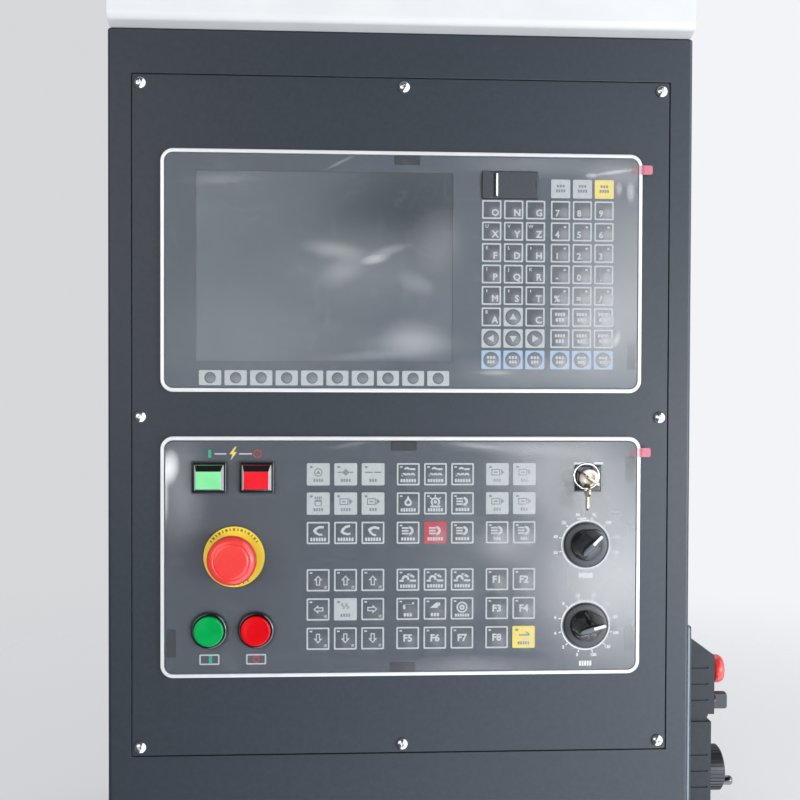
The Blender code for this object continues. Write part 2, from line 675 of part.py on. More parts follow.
def unit_film(name, tab_name, height):
    """Hazy protective film over a unit, with the pull tab at its right edge."""
    width = UNIT_WIDTH - 2 * UNIT_RIM - 2 * FILM_MARGIN
    tall = UNIT_HEIGHT - 2 * UNIT_RIM - 2 * FILM_MARGIN
    film = slab(
        name, CLEAR, PANEL, (0.0, height), (width, tall),
        FILM_BACK, FILM_FRONT, corner=UNIT_CORNER - UNIT_RIM - FILM_MARGIN, steps=4,
    )
    tab_x = UNIT_WIDTH / 2 + TAB_OVERHANG - TAB_WIDTH / 2
    tab_z = height + UNIT_HEIGHT / 2 - TAB_DROP
    slab(
        tab_name, TAB_RED, PANEL, (tab_x, tab_z), (TAB_WIDTH, TAB_HEIGHT),
        TAB_BACK, TAB_BACK + FILM_THICKNESS, corner=TAB_CORNER, steps=2,
    )
    return film


def grid(first, pitch, columns, rows):
    """Places of a block of keys, from its first one at the left."""
    return [
        (first[0] + pitch[0] * column, first[1] + pitch[1] * row)
        for row in range(rows)
        for column in range(columns)
    ]


def display_unit():
    frame = unit_frame("display_frame", DISPLAY_Z)
    module = (SCREEN_WIDTH + 2 * SCREEN_BORDER, SCREEN_HEIGHT + 2 * SCREEN_BORDER)
    screen = (SCREEN_X, SCREEN_Z)
    cleared = (module[0] + 2 * SEAT_GAP, module[1] + 2 * SEAT_GAP)
    cut(frame, slab("screen_hole", None, PANEL, screen, cleared, -CUT_SLACK, CUT_SLACK))

    letter_pitch = (LETTER_PITCH_X, LETTER_PITCH_Z)
    letters = grid((LETTER_FIRST_X, LETTER_FIRST_Z), letter_pitch, LETTER_COLUMNS, LETTER_ROWS)
    numbers = grid((NUMBER_FIRST_X, LETTER_FIRST_Z), letter_pitch, LETTER_COLUMNS, LETTER_ROWS + 1)
    soft = grid((SOFT_KEY_FIRST_X, SOFT_KEY_Z), (SOFT_KEY_PITCH, 0.0), SOFT_KEY_COUNT, 1)
    keys = [
        (letters + numbers, (LETTER_WIDTH, LETTER_HEIGHT)),
        (soft, (SOFT_KEY_WIDTH, SOFT_KEY_HEIGHT)),
    ]
    overlay = unit_overlay("display_overlay", DISPLAY_Z, keys)
    window = (SCREEN_WIDTH, SCREEN_HEIGHT)
    cut(overlay, slab("screen_window", None, PANEL, screen, window, -CUT_SLACK, CUT_SLACK))
    slab("lcd_panel", SCREEN, PANEL, screen, module, POCKET_FLOOR - SCREEN_DEPTH, POCKET_FLOOR)

    case_size = (UNIT_WIDTH - 2 * UNIT_LAP - 2 * CASE_GAP, UNIT_HEIGHT - 2 * UNIT_LAP - 2 * CASE_GAP)
    case = slab(
        "display_case", STEEL, PANEL, (0.0, DISPLAY_Z), case_size,
        -DISPLAY_CASE_DEPTH, 0.0, corner=CASE_CORNER, steps=2,
    )
    module_back = POCKET_FLOOR - SCREEN_DEPTH - SEAT_GAP
    cut(case, slab("screen_pocket", None, PANEL, screen, cleared, module_back, CUT_SLACK))

    film = unit_film("display_film", "display_pull_tab", DISPLAY_Z)
    port_cover(frame, overlay, case, film)


def port_cover(frame, overlay, case, film):
    """Moulded data-port housing with a lid on a pin hinge along its left cheek."""
    place = (PORT_X, PORT_Z)
    body = (PORT_WIDTH - 2 * PORT_BODY_MARGIN, PORT_HEIGHT - 2 * PORT_BODY_MARGIN)
    hole = (body[0] + 2 * RUN_GAP, body[1] + 2 * RUN_GAP)
    flange = (PORT_WIDTH, PORT_HEIGHT)
    room = (PORT_WIDTH + 2 * RUN_GAP, PORT_HEIGHT + 2 * RUN_GAP)
    cut(frame, slab("port_hole", None, PANEL, place, hole, -CUT_SLACK, CUT_SLACK))
    cut(overlay, slab("port_window", None, PANEL, place, room, -CUT_SLACK, CUT_SLACK))
    cut(film, slab("port_gap", None, PANEL, place, room, -CUT_SLACK, CUT_SLACK))
    case_hole_back = -PORT_DEPTH - SEAT_GAP
    cut(case, slab("port_pocket", None, PANEL, place, hole, case_hole_back, CUT_SLACK))

    flange_front = OVERLAY_BACK + PORT_FLANGE
    housing = slab("port_housing", BLACK, PANEL, place, flange, OVERLAY_BACK, flange_front)
    fuse(housing, slab("port_body", None, PANEL, place, body, -PORT_DEPTH, flange_front - PORT_FLANGE / 2))
    left = PORT_X - PORT_WIDTH / 2
    cheek_front = flange_front + PORT_CHEEK_RISE
    cheek = (left + PORT_CHEEK_WIDTH / 2, PORT_Z)
    fuse(housing, slab("port_cheek", None, PANEL, cheek, (PORT_CHEEK_WIDTH, PORT_HEIGHT),
                       flange_front - PORT_FLANGE / 2, cheek_front))
    barrel_x = left + PORT_CHEEK_WIDTH + RUN_GAP + LID_BARREL_RADIUS
    barrel_height = flange_front + SEAT_GAP + LID_BARREL_RADIUS
    ear_reach = barrel_x + LID_BARREL_RADIUS
    ear_size = (ear_reach - left, LID_EAR)
    for side, sign in (("lower", -1), ("upper", 1)):
        ear = ((left + ear_reach) / 2, PORT_Z + sign * (PORT_HEIGHT - LID_EAR) / 2)
        fuse(housing, slab(f"{side}_ear", None, PANEL, ear, ear_size, flange_front - PORT_FLANGE / 2,
                           cheek_front))
    well_x = (ear_reach + PORT_X + body[0] / 2 - LID_EAR) / 2
    well = (well_x, PORT_Z)
    well_back = flange_front - PORT_WELL_DEPTH
    cut(housing, slab("port_well", None, PANEL, well, (PORT_WELL_WIDTH, PORT_WELL_HEIGHT),
                      well_back, CUT_SLACK))
    pin_hole = rod("pin_hole", None, PANEL, (barrel_x, PORT_Z), LID_PIN_RADIUS + RUN_GAP,
                   -PORT_HEIGHT / 2 - CUT_SLACK, PORT_HEIGHT / 2 + CUT_SLACK, steps=12)
    pin_hole.location.z = barrel_height
    pin_hole.rotation_euler = (math.pi / 2, 0.0, 0.0)
    cut(housing, pin_hole)

    lid_height = PORT_HEIGHT - 2 * LID_EAR - 2 * RUN_GAP
    right = PORT_X + PORT_WIDTH / 2
    lid_back = barrel_height - LID_BARREL_RADIUS
    lid = rod("port_lid", BLACK, PANEL, (barrel_x, PORT_Z), LID_BARREL_RADIUS,
              -lid_height / 2, lid_height / 2, steps=12)
    lid.location.z = barrel_height
    lid.rotation_euler = (math.pi / 2, 0.0, 0.0)
    flap_mid = ((barrel_x + right) / 2, PORT_Z)
    flap = slab("lid_flap", None, PANEL, flap_mid, (right - barrel_x, lid_height),
                lid_back, lid_back + LID_THICKNESS)
    fuse(lid, flap)
    pin = rod("lid_pin", None, PANEL, (barrel_x, PORT_Z), LID_PIN_RADIUS,
              -PORT_HEIGHT / 2 + RUN_GAP, PORT_HEIGHT / 2 - RUN_GAP, steps=12)
    pin.location.z = barrel_height
    pin.rotation_euler = (math.pi / 2, 0.0, 0.0)
    fuse(lid, pin)


def operator_unit():
    frame = unit_frame("operator_frame", OPERATOR_Z)
    pitch = (PANEL_KEY_PITCH_X, -PANEL_KEY_PITCH_Z)
    places = []
    for first_z in (UPPER_KEYS_Z, LOWER_KEYS_Z):
        places += grid((MODE_KEYS_X, first_z), pitch, PANEL_KEY_COLUMNS, PANEL_KEY_ROWS)
        places += grid((AXIS_KEYS_X, first_z), pitch, PANEL_KEY_COLUMNS, PANEL_KEY_ROWS)
        places += grid((FUNCTION_KEYS_X, first_z), pitch, FUNCTION_KEY_COLUMNS, PANEL_KEY_ROWS)
    keys = [(places, (PANEL_KEY_WIDTH, PANEL_KEY_HEIGHT))]
    overlay = unit_overlay("operator_overlay", OPERATOR_Z, keys)
    film = unit_film("operator_film", "operator_pull_tab", OPERATOR_Z)
    slab(
        "operator_case", STEEL, PANEL, (OPERATOR_CASE_SHIFT, OPERATOR_Z),
        (OPERATOR_CASE_WIDTH, OPERATOR_CASE_HEIGHT), -OPERATOR_CASE_DEPTH, 0.0,
        corner=CASE_CORNER, steps=2,
    )
    layers = (frame, overlay, film)
    power_button("power_on", POWER_ON_X, LENS_GREEN, layers)
    power_button("power_off", POWER_OFF_X, LENS_RED, layers)
    round_button("cycle_start", CYCLE_START_X, CAP_GREEN, layers)
    round_button("feed_hold", FEED_HOLD_X, CAP_RED, layers)
    emergency_stop(layers)
    key_switch(layers)
    override_switch("spindle", SPINDLE_Z, SPINDLE_POINTER, layers)
    override_switch("feed", FEED_Z, FEED_POINTER, layers)


def open_layers(name, layers, place, hole, film_gap):
    """Cuts one control's hole in the faceplate and overlay, and a wider one in the film."""
    frame, overlay, film = layers
    for layer, shape in ((frame, hole), (overlay, hole), (film, film_gap)):
        cut(layer, add_part(f"{name}_in_{layer.name}", shape, None, PANEL, (place[0], place[1], 0.0)))


def contact_block(name, body, place, front):
    """The moulded contact block clipped behind a control, made as one with its barrel."""
    size = (CONTACT_BLOCK_WIDTH, CONTACT_BLOCK_HEIGHT)
    fuse(body, slab(name, None, PANEL, place, size, front - CONTACT_BLOCK_DEPTH, front))


def power_button(name, x, lens, layers):
    """Square lit button: a black surround, and a lens that tapers to a lowered face."""
    place = (x, POWER_Z)
    body = (POWER_WIDTH - 2 * POWER_BODY_MARGIN, POWER_HEIGHT - 2 * POWER_BODY_MARGIN)
    hole = box_mesh(body[0] + 2 * RUN_GAP, body[1] + 2 * RUN_GAP, -CUT_SLACK, CUT_SLACK)
    gap = box_mesh(POWER_WIDTH + 2 * FILM_MARGIN, POWER_HEIGHT + 2 * FILM_MARGIN, -CUT_SLACK, CUT_SLACK)
    open_layers(name, layers, place, hole, gap)

    front = SEAT + POWER_RISE
    surround = slab(
        name + "_surround", BLACK, PANEL, place, (POWER_WIDTH, POWER_HEIGHT),
        SEAT, front, corner=POWER_CORNER, edge=POWER_EDGE, steps=3,
    )
    fuse(surround, slab(name + "_body", None, PANEL, place, body, -POWER_DEPTH, SEAT + POWER_FLOOR / 2))
    recess = (POWER_WIDTH - 2 * POWER_WALL, POWER_HEIGHT - 2 * POWER_WALL)
    floor = SEAT + POWER_FLOOR
    cut(surround, slab(name + "_recess", None, PANEL, place, recess, floor, CUT_SLACK + front))
    cap_back = floor + SEAT_GAP + POWER_TRAVEL
    stem_end = cap_back - POWER_STEM_LENGTH
    bore = (POWER_STEM + 2 * RUN_GAP, POWER_STEM + 2 * RUN_GAP)
    bore_floor = stem_end - POWER_TRAVEL - SEAT_GAP
    cut(surround, slab(name + "_bore", None, PANEL, place, bore, bore_floor, CUT_SLACK + front))

    base = (recess[0] - 2 * RUN_GAP, recess[1] - 2 * RUN_GAP)
    form = bmesh.new()
    bmesh.ops.create_cube(form, size=1.0)
    bmesh.ops.scale(form, vec=(base[0], base[1], POWER_CAP_BASE), verts=form.verts)
    bmesh.ops.translate(form, vec=(0.0, 0.0, cap_back + POWER_CAP_BASE / 2), verts=form.verts)
    form.faces.ensure_lookup_table()
    top = max(form.faces, key=lambda face: face.calc_center_median().z)
    lens_form = bmesh.ops.extrude_discrete_faces(form, faces=[top])["faces"][0]
    bmesh.ops.scale(form, vec=(POWER_FACE_WIDTH / base[0], POWER_FACE_HEIGHT / base[1], 1.0),
                    verts=lens_form.verts)
    rise = POWER_CAP_HEIGHT - POWER_CAP_BASE
    bmesh.ops.translate(form, vec=(0.0, -POWER_FACE_DROP, rise), verts=lens_form.verts)
    mesh = bpy.data.meshes.new(name + "_button")
    form.to_mesh(mesh)
    form.free()
    cap = add_part(name + "_button", mesh, lens, PANEL, (x, POWER_Z, 0.0))
    stem = (POWER_STEM, POWER_STEM)
    fuse(cap, slab(name + "_stem", None, PANEL, place, stem, stem_end, cap_back + POWER_CAP_BASE / 2))


def round_button(name, x, finish, layers):
    """Round flush button in a black bezel, with its nut and contact block behind the plate."""
    place = (x, ROUND_Z)
    hole = rod_mesh(ROUND_BARREL_RADIUS + RUN_GAP, -CUT_SLACK, CUT_SLACK, 24)
    gap = rod_mesh(ROUND_BEZEL_RADIUS + FILM_MARGIN, -CUT_SLACK, CUT_SLACK, 24)
    open_layers(name, layers, place, hole, gap)

    front = SEAT + ROUND_BEZEL_RISE
    floor = SEAT + ROUND_FLOOR
    cap_back = floor + SEAT_GAP + ROUND_TRAVEL
    stem_end = cap_back - ROUND_STEM_LENGTH
    recess = ROUND_CAP_RADIUS + RUN_GAP
    lip = (ROUND_BEZEL_RADIUS + recess) / 2
    nut = ROUND_BARREL_RADIUS + NUT_LIP
    bezel = turned(name + "_bezel", BLACK, PANEL, place, [
        (0.0, stem_end - ROUND_TRAVEL - SEAT_GAP),
        (ROUND_STEM_RADIUS + RUN_GAP, stem_end - ROUND_TRAVEL - SEAT_GAP),
        (ROUND_STEM_RADIUS + RUN_GAP, floor),
        (recess, floor),
        (recess, front - ROUND_BEZEL_RISE * 0.12),
        (lip, front),
        (ROUND_BEZEL_RADIUS, front - ROUND_BEZEL_RISE * 0.45),
        (ROUND_BEZEL_RADIUS, SEAT),
        (ROUND_BARREL_RADIUS, SEAT),
        (ROUND_BARREL_RADIUS, 0.0),
        (nut, 0.0),
        (nut, -NUT_HEIGHT),
        (ROUND_BARREL_RADIUS, -NUT_HEIGHT),
        (ROUND_BARREL_RADIUS, -ROUND_DEPTH),
        (0.0, -ROUND_DEPTH),
    ])
    contact_block(name + "_contacts", bezel, place, -ROUND_DEPTH + NUT_HEIGHT / 2)

    cap_front = cap_back + ROUND_CAP_HEIGHT
    turned(name + "_button", finish, PANEL, place, [
        (0.0, cap_front),
        (ROUND_CAP_RADIUS * 0.88, cap_front - ROUND_CAP_HEIGHT * 0.04),
        (ROUND_CAP_RADIUS * 0.97, cap_front - ROUND_CAP_HEIGHT * 0.22),
        (ROUND_CAP_RADIUS, cap_front - ROUND_CAP_HEIGHT * 0.52),
        (ROUND_CAP_RADIUS, cap_back),
        (ROUND_STEM_RADIUS, cap_back),
        (ROUND_STEM_RADIUS, stem_end),
        (0.0, stem_end),
    ])


def mushroom(name, finish, parent, place, underside, radius, height, socket_radius, socket_depth, steps):
    """Mushroom head with a ring groove in its face and a socket for its plunger."""
    top = underside + height
    return turned(name, finish, parent, place, [
        (0.0, top),
        (radius * 0.62, top - height * 0.02),
        (radius * 0.66, top - height * 0.07),
        (radius * 0.71, top - height * 0.04),
        (radius * 0.86, top - height * 0.13),
        (radius * 0.96, top - height * 0.28),
        (radius, top - height * 0.46),
        (radius * 0.985, top - height * 0.72),
        (radius * 0.92, top - height * 0.86),
        (radius * 0.56, underside),
        (socket_radius, underside),
        (socket_radius, underside + socket_depth),
        (0.0, underside + socket_depth),
    ], steps)


def emergency_stop(layers):
    """Yellow disc, black collar, and a latching plunger that carries the twisting head."""
    place = (STOP_X, STOP_Z)
    hole = rod_mesh(STOP_BARREL_RADIUS + RUN_GAP, -CUT_SLACK, CUT_SLACK, 24)
    gap = rod_mesh(STOP_DISC_RADIUS + FILM_MARGIN, -CUT_SLACK, CUT_SLACK, 32)
    open_layers("estop", layers, place, hole, gap)

    disc_front = SEAT + STOP_DISC_THICKNESS
    inner = STOP_BARREL_RADIUS + RUN_GAP
    turned("estop_disc", YELLOW, PANEL, place, [
        (STOP_DISC_RADIUS, disc_front),
        (STOP_DISC_RADIUS, SEAT),
        (inner, SEAT),
        (inner, disc_front),
    ], steps=32, ring=True)

    collar_back = disc_front + SEAT_GAP
    collar_front = collar_back + STOP_COLLAR_HEIGHT
    underside = collar_front + STOP_HEAD_CLEARANCE
    plunger_end = -STOP_PLUNGER_REACH + STOP_TRAVEL
    bore_floor = plunger_end - STOP_TRAVEL - SEAT_GAP
    bore = STOP_PLUNGER_RADIUS + RUN_GAP
    nut = STOP_BARREL_RADIUS + NUT_LIP
    body = turned("estop_body", BLACK, PANEL, place, [
        (0.0, bore_floor),
        (bore, bore_floor),
        (bore, collar_front),
        (STOP_COLLAR_RADIUS * 0.9, collar_front),
        (STOP_COLLAR_RADIUS, collar_back),
        (STOP_BARREL_RADIUS, collar_back),
        (STOP_BARREL_RADIUS, 0.0),
        (nut, 0.0),
        (nut, -NUT_HEIGHT),
        (STOP_BARREL_RADIUS, -NUT_HEIGHT),
        (STOP_BARREL_RADIUS, -STOP_DEPTH),
        (0.0, -STOP_DEPTH),
    ])
    contact_block("estop_contacts", body, place, -STOP_DEPTH + NUT_HEIGHT / 2)
    socket_top = underside + STOP_SOCKET_DEPTH
    rod("estop_plunger", STEEL, PANEL, place, STOP_PLUNGER_RADIUS, plunger_end, socket_top - SEAT_GAP)
    mushroom("estop_head", STOP_RED, PANEL, place, underside, STOP_HEAD_RADIUS, STOP_HEAD_HEIGHT,
             bore, STOP_SOCKET_DEPTH, 28)


def key_mesh(name):
    """Flat key in the local XY plane, blade pointing down, slotted bow above the origin."""
    half = KEY_BOW_WIDTH / 2
    blade = KEY_BLADE_WIDTH / 2
    round_off = KEY_BOW_LENGTH * 0.45
    points = arc((half - round_off, KEY_BOW_LENGTH - round_off), round_off, 0, 90, 4)
    points += arc((round_off - half, KEY_BOW_LENGTH - round_off), round_off, 90, 180, 4)
    shoulder = KEY_BOW_LENGTH * 0.05
    points += [(-half, round_off * 0.6), (-half + round_off * 0.6, shoulder), (-blade, 0.0)]
    points += [(-blade, -KEY_BLADE_LENGTH + blade), (0.0, -KEY_BLADE_LENGTH)]
    tooth = (KEY_BLADE_LENGTH - blade) / (KEY_TOOTH_COUNT + 1)
    for index in range(KEY_TOOTH_COUNT):
        low = -KEY_BLADE_LENGTH + blade + tooth * (index + 0.3)
        points += [(blade, low), (blade - KEY_TOOTH_DEPTH, low + tooth * 0.35), (blade, low + tooth * 0.7)]
    points += [(blade, 0.0), (half - round_off * 0.6, shoulder), (half, round_off * 0.6)]
    return outline_mesh(name, points, KEY_THICKNESS)


def slotted_key(name, parent):
    key = add_part(name, key_mesh(name), BRIGHT, parent, (0.0, 0.0, 0.0))
    middle = (0.0, KEY_BOW_LENGTH / 2)
    cut(key, slab(name + "_slot", None, parent, middle, (KEY_SLOT_WIDTH, KEY_SLOT_HEIGHT),
                  -KEY_THICKNESS, KEY_THICKNESS, corner=KEY_SLOT_CORNER, steps=2))
    return key


def key_switch(layers):
    """Cylinder lock in a square bezel, its key, and a split ring with the spare key."""
    place = (LOCK_X, LOCK_Z)
    hole = rod_mesh(LOCK_BARREL_RADIUS + RUN_GAP, -CUT_SLACK, CUT_SLACK, 24)
    gap = box_mesh(LOCK_WIDTH + 2 * FILM_MARGIN, LOCK_WIDTH + 2 * FILM_MARGIN, -CUT_SLACK, CUT_SLACK)
    open_layers("lock", layers, place, hole, gap)

    front = SEAT + LOCK_RISE
    body = slab("lock_body", BLACK, PANEL, place, (LOCK_WIDTH, LOCK_WIDTH), SEAT, front,
                corner=LOCK_CORNER, edge=LOCK_EDGE, steps=2)
    nut = LOCK_BARREL_RADIUS + NUT_LIP
    fuse(body, turned("lock_barrel", None, PANEL, place, [
        (0.0, SEAT + LOCK_RISE / 2),
        (LOCK_BARREL_RADIUS, SEAT + LOCK_RISE / 2),
        (LOCK_BARREL_RADIUS, 0.0),
        (nut, 0.0),
        (nut, -NUT_HEIGHT),
        (LOCK_BARREL_RADIUS, -NUT_HEIGHT),
        (LOCK_BARREL_RADIUS, -LOCK_DEPTH),
        (0.0, -LOCK_DEPTH),
    ]))
    rotor_front = SEAT + ROTOR_RISE
    rotor_back = -ROTOR_REACH
    cut(body, rod("lock_bore", None, PANEL, place, ROTOR_RADIUS + RUN_GAP, rotor_back - SEAT_GAP,
                  front + CUT_SLACK, steps=24))

    turn = face_frame("key_turn", (LOCK_X, LOCK_Z, 0.0), (0.0, 0.0, KEY_ANGLE))
    turn.parent = PANEL
    rotor = turned("lock_rotor", BRIGHT, turn, (0.0, 0.0), [
        (0.0, rotor_front),
        (ROTOR_RADIUS * 0.9, rotor_front),
        (ROTOR_RADIUS, rotor_front - ROTOR_RADIUS * 0.1),
        (ROTOR_RADIUS, rotor_back),
        (0.0, rotor_back),
    ])
    shoulder = rotor_front + SEAT_GAP
    keyway_floor = shoulder - KEY_BLADE_LENGTH - SEAT_GAP
    keyway = (KEY_BLADE_WIDTH + 2 * RUN_GAP, KEY_THICKNESS + 2 * RUN_GAP)
    cut(rotor, slab("keyway", None, turn, (0.0, 0.0), keyway, keyway_floor, rotor_front + CUT_SLACK))

    stand = face_frame("key_stand", (0.0, 0.0, shoulder), (math.pi / 2, 0.0, 0.0))
    stand.parent = turn
    slotted_key("lock_key", stand)

    wire_height = shoulder + KEY_BOW_LENGTH / 2
    reach = KEY_SLOT_WIDTH / 2 - RING_WIRE_RADIUS - RUN_GAP
    ring_x = LOCK_X + (reach - RING_RADIUS) * math.cos(KEY_ANGLE)
    ring_z = LOCK_Z + (reach - RING_RADIUS) * math.sin(KEY_ANGLE)
    add_part("key_ring", ring_mesh(), BRIGHT, PANEL, (ring_x, ring_z, wire_height))

    hang_z = ring_z - RING_RADIUS
    above_wire = (KEY_BOW_LENGTH + KEY_SLOT_HEIGHT) / 2 - RING_WIRE_RADIUS - RUN_GAP
    hang = (ring_x, hang_z - above_wire, wire_height + reach - KEY_SLOT_CORNER)
    spare = face_frame("spare_hang", hang, (0.0, math.pi / 2, 0.0))
    spare.parent = PANEL
    slotted_key("spare_key", spare)


def ring_mesh():
    """Split ring drawn as one round wire loop."""
    count = 24
    around = 6
    form = bmesh.new()
    rings = []
    for index in range(count):
        angle = 2 * math.pi * index / count
        ring = []
        for step in range(around):
            lean = 2 * math.pi * step / around
            radius = RING_RADIUS + RING_WIRE_RADIUS * math.cos(lean)
            height = RING_WIRE_RADIUS * math.sin(lean)
            ring.append(form.verts.new((radius * math.cos(angle), radius * math.sin(angle), height)))
        rings.append(ring)
    for index in range(count):
        here = rings[index]
        there = rings[(index + 1) % count]
        for step in range(around):
            after = (step + 1) % around
            form.faces.new((here[step], there[step], there[after], here[after]))
    mesh = bpy.data.meshes.new("key_ring")
    form.to_mesh(mesh)
    form.free()
    return mesh


def override_switch(name, height, pointer, layers):
    """Rotary override switch: a skirted wing knob on the shaft of a stepped switch."""
    place = (OVERRIDE_X, height)
    hole = rod_mesh(SWITCH_BUSH_RADIUS + RUN_GAP, -CUT_SLACK, CUT_SLACK, 20)
    gap = rod_mesh(KNOB_SKIRT_RADIUS + FILM_MARGIN, -CUT_SLACK, CUT_SLACK, 32)
    open_layers(name, layers, place, hole, gap)

    knob_back = SEAT
    shaft_end = knob_back - KNOB_SHAFT_LENGTH
    bore = KNOB_SHAFT_RADIUS + RUN_GAP
    turned(name + "_switch", STEEL, PANEL, place, [
        (0.0, shaft_end - SEAT_GAP),
        (bore, shaft_end - SEAT_GAP),
        (bore, OVERLAY_BACK),
        (SWITCH_BUSH_RADIUS, OVERLAY_BACK),
        (SWITCH_BUSH_RADIUS, 0.0),
        (SWITCH_BODY_RADIUS, 0.0),
        (SWITCH_BODY_RADIUS, -SWITCH_BODY_DEPTH),
        (0.0, -SWITCH_BODY_DEPTH),
    ])
    skirt_front = knob_back + KNOB_SKIRT_HEIGHT
    body_front = skirt_front + KNOB_BODY_HEIGHT
    turn = face_frame(name + "_turn", (OVERRIDE_X, height, 0.0), (0.0, 0.0, pointer))
    turn.parent = PANEL
    knob = turned(name + "_knob", BLACK, turn, (0.0, 0.0), [
        (0.0, body_front),
        (KNOB_BODY_RADIUS * 0.80, body_front),
        (KNOB_BODY_RADIUS * 0.93, body_front - KNOB_BODY_HEIGHT * 0.25),
        (KNOB_BODY_RADIUS, skirt_front),
        (KNOB_SKIRT_RADIUS * 0.96, skirt_front),
        (KNOB_SKIRT_RADIUS, skirt_front - KNOB_SKIRT_HEIGHT * 0.4),
        (KNOB_SKIRT_RADIUS, knob_back),
        (KNOB_SHAFT_RADIUS, knob_back),
        (KNOB_SHAFT_RADIUS, shaft_end),
        (0.0, shaft_end),
    ], steps=28)
    fuse(knob, slab(
        name + "_grip", None, turn, (0.0, 0.0), (KNOB_GRIP_WIDTH, KNOB_GRIP_LENGTH),
        skirt_front - KNOB_SKIRT_HEIGHT / 2, knob_back + KNOB_GRIP_HEIGHT,
        corner=KNOB_GRIP_WIDTH * 0.45, edge=KNOB_GRIP_WIDTH * 0.15, steps=3,
    ))


def pendant():
    """Compact handwheel pendant on a flat hanger plate on the cabinet's right side."""
    hanger_top = PENDANT_TOP_Z + HANGER_RISE
    hanger = (HANGER_FRONT + HANGER_WIDTH / 2, hanger_top - HANGER_HEIGHT / 2)
    slab("pendant_hanger", BLACK, FLANK, hanger, (HANGER_WIDTH, HANGER_HEIGHT),
         SEAT_GAP, SEAT_GAP + HANGER_THICKNESS, corner=HANGER_CORNER, steps=2)
    body = pendant_body()
    pendant_stop(body)
    for name, side in (("axis_selector", -1), ("step_selector", 1)):
        selector(name, PENDANT_MIDDLE + side * SELECTOR_SPACING / 2, body)
    handwheel(body)
    pendant_gland(body)


def pendant_body():
    """Moulded body: an extruded side profile with a waist groove, grip ribs and a round foot."""
    bottom = PENDANT_TOP_Z - PENDANT_HEIGHT
    back = SIDE + PENDANT_BACK
    face = SIDE + PENDANT_FACE
    lower_face = SIDE + PENDANT_LOWER_FACE
    waist_top = PENDANT_TOP_Z - PENDANT_WAIST_DROP
    waist_bottom = waist_top - PENDANT_WAIST_HEIGHT
    groove = min(face, lower_face) - PENDANT_WAIST_DEPTH
    outline = [(back, bottom)]
    foot = (lower_face - PENDANT_BOTTOM_RADIUS, bottom + PENDANT_BOTTOM_RADIUS)
    outline += arc(foot, PENDANT_BOTTOM_RADIUS, 270, 360, 6)
    outline += [(lower_face, waist_bottom), (groove, waist_bottom), (groove, waist_top), (face, waist_top)]
    brow = (face - PENDANT_TOP_RADIUS, PENDANT_TOP_Z - PENDANT_TOP_RADIUS)
    outline += arc(brow, PENDANT_TOP_RADIUS, 0, 90, 3)
    outline += [(back, PENDANT_TOP_Z)]
    mesh = outline_mesh("pendant_body", outline, PENDANT_WIDTH)
    body = add_part("pendant_body", mesh, BLACK, PANEL, (0.0, 0.0, -PENDANT_MIDDLE))
    form = bmesh.new()
    form.from_mesh(mesh)
    ends = [line for line in form.edges
            if abs(abs(line.verts[0].co.z) - PENDANT_WIDTH / 2) < 1e-6
            and abs(line.verts[0].co.z - line.verts[1].co.z) < 1e-6
            and len(line.link_faces) == 2
            and abs(line.link_faces[0].normal.dot(line.link_faces[1].normal)) < 0.5]
    bmesh.ops.bevel(form, geom=ends, offset=PENDANT_EDGE, segments=1, profile=0.5, affect="EDGES")
    form.to_mesh(mesh)
    form.free()

    places = []
    for centre in (PENDANT_TOP_Z - PENDANT_WAIST_DROP / 2, (waist_bottom + bottom) / 2):
        for index in range(PENDANT_RIB_COUNT):
            offset = (index - (PENDANT_RIB_COUNT - 1) / 2) * PENDANT_RIB_PITCH
            places.append(centre + offset)
    thickness = PENDANT_LOWER_THICKNESS - 4 * PENDANT_EDGE
    middle = SIDE + PENDANT_BACK + PENDANT_LOWER_THICKNESS / 2
    for side, depth in (("near", PENDANT_DEPTH_START), ("far", PENDANT_DEPTH_START + PENDANT_WIDTH)):
        rib = box_mesh(thickness, PENDANT_RIB_HEIGHT, -PENDANT_RIB_DEPTH, PENDANT_RIB_DEPTH)
        tool = many(f"{side}_ribs", [(middle, place) for place in places], rib)
        cut(body, add_part(f"{side}_ribs", tool, None, PANEL, (0.0, 0.0, -depth)))
    return body


def pendant_stop(body):
    place = (PENDANT_MIDDLE, PENDANT_TOP_Z - PENDANT_STOP_DROP)
    bore = PENDANT_STOP_STEM_RADIUS + RUN_GAP
    collar_back = PENDANT_FACE + SEAT_GAP
    collar_front = collar_back + PENDANT_STOP_COLLAR_HEIGHT
    turned("pendant_stop_collar", YELLOW, FLANK, place, [
        (PENDANT_STOP_COLLAR_RADIUS * 0.9, collar_front),
        (PENDANT_STOP_COLLAR_RADIUS, collar_back),
        (bore, collar_back),
        (bore, collar_front),
    ], ring=True)
    underside = collar_front + PENDANT_STOP_CLEARANCE
    stem_end = PENDANT_FACE - PENDANT_STOP_STEM_REACH
    stem_top = underside + PENDANT_STOP_SOCKET - SEAT_GAP
    rod("pendant_stop_stem", STEEL, FLANK, place, PENDANT_STOP_STEM_RADIUS, stem_end, stem_top)
    mushroom("pendant_stop_head", STOP_RED, FLANK, place, underside, PENDANT_STOP_HEAD_RADIUS,
             PENDANT_STOP_HEAD_HEIGHT, bore, PENDANT_STOP_SOCKET, 20)
    floor = stem_end - PENDANT_STOP_TRAVEL - SEAT_GAP
    cut(body, rod("stop_bore", None, FLANK, place, bore, floor, PENDANT_FACE + CUT_SLACK))


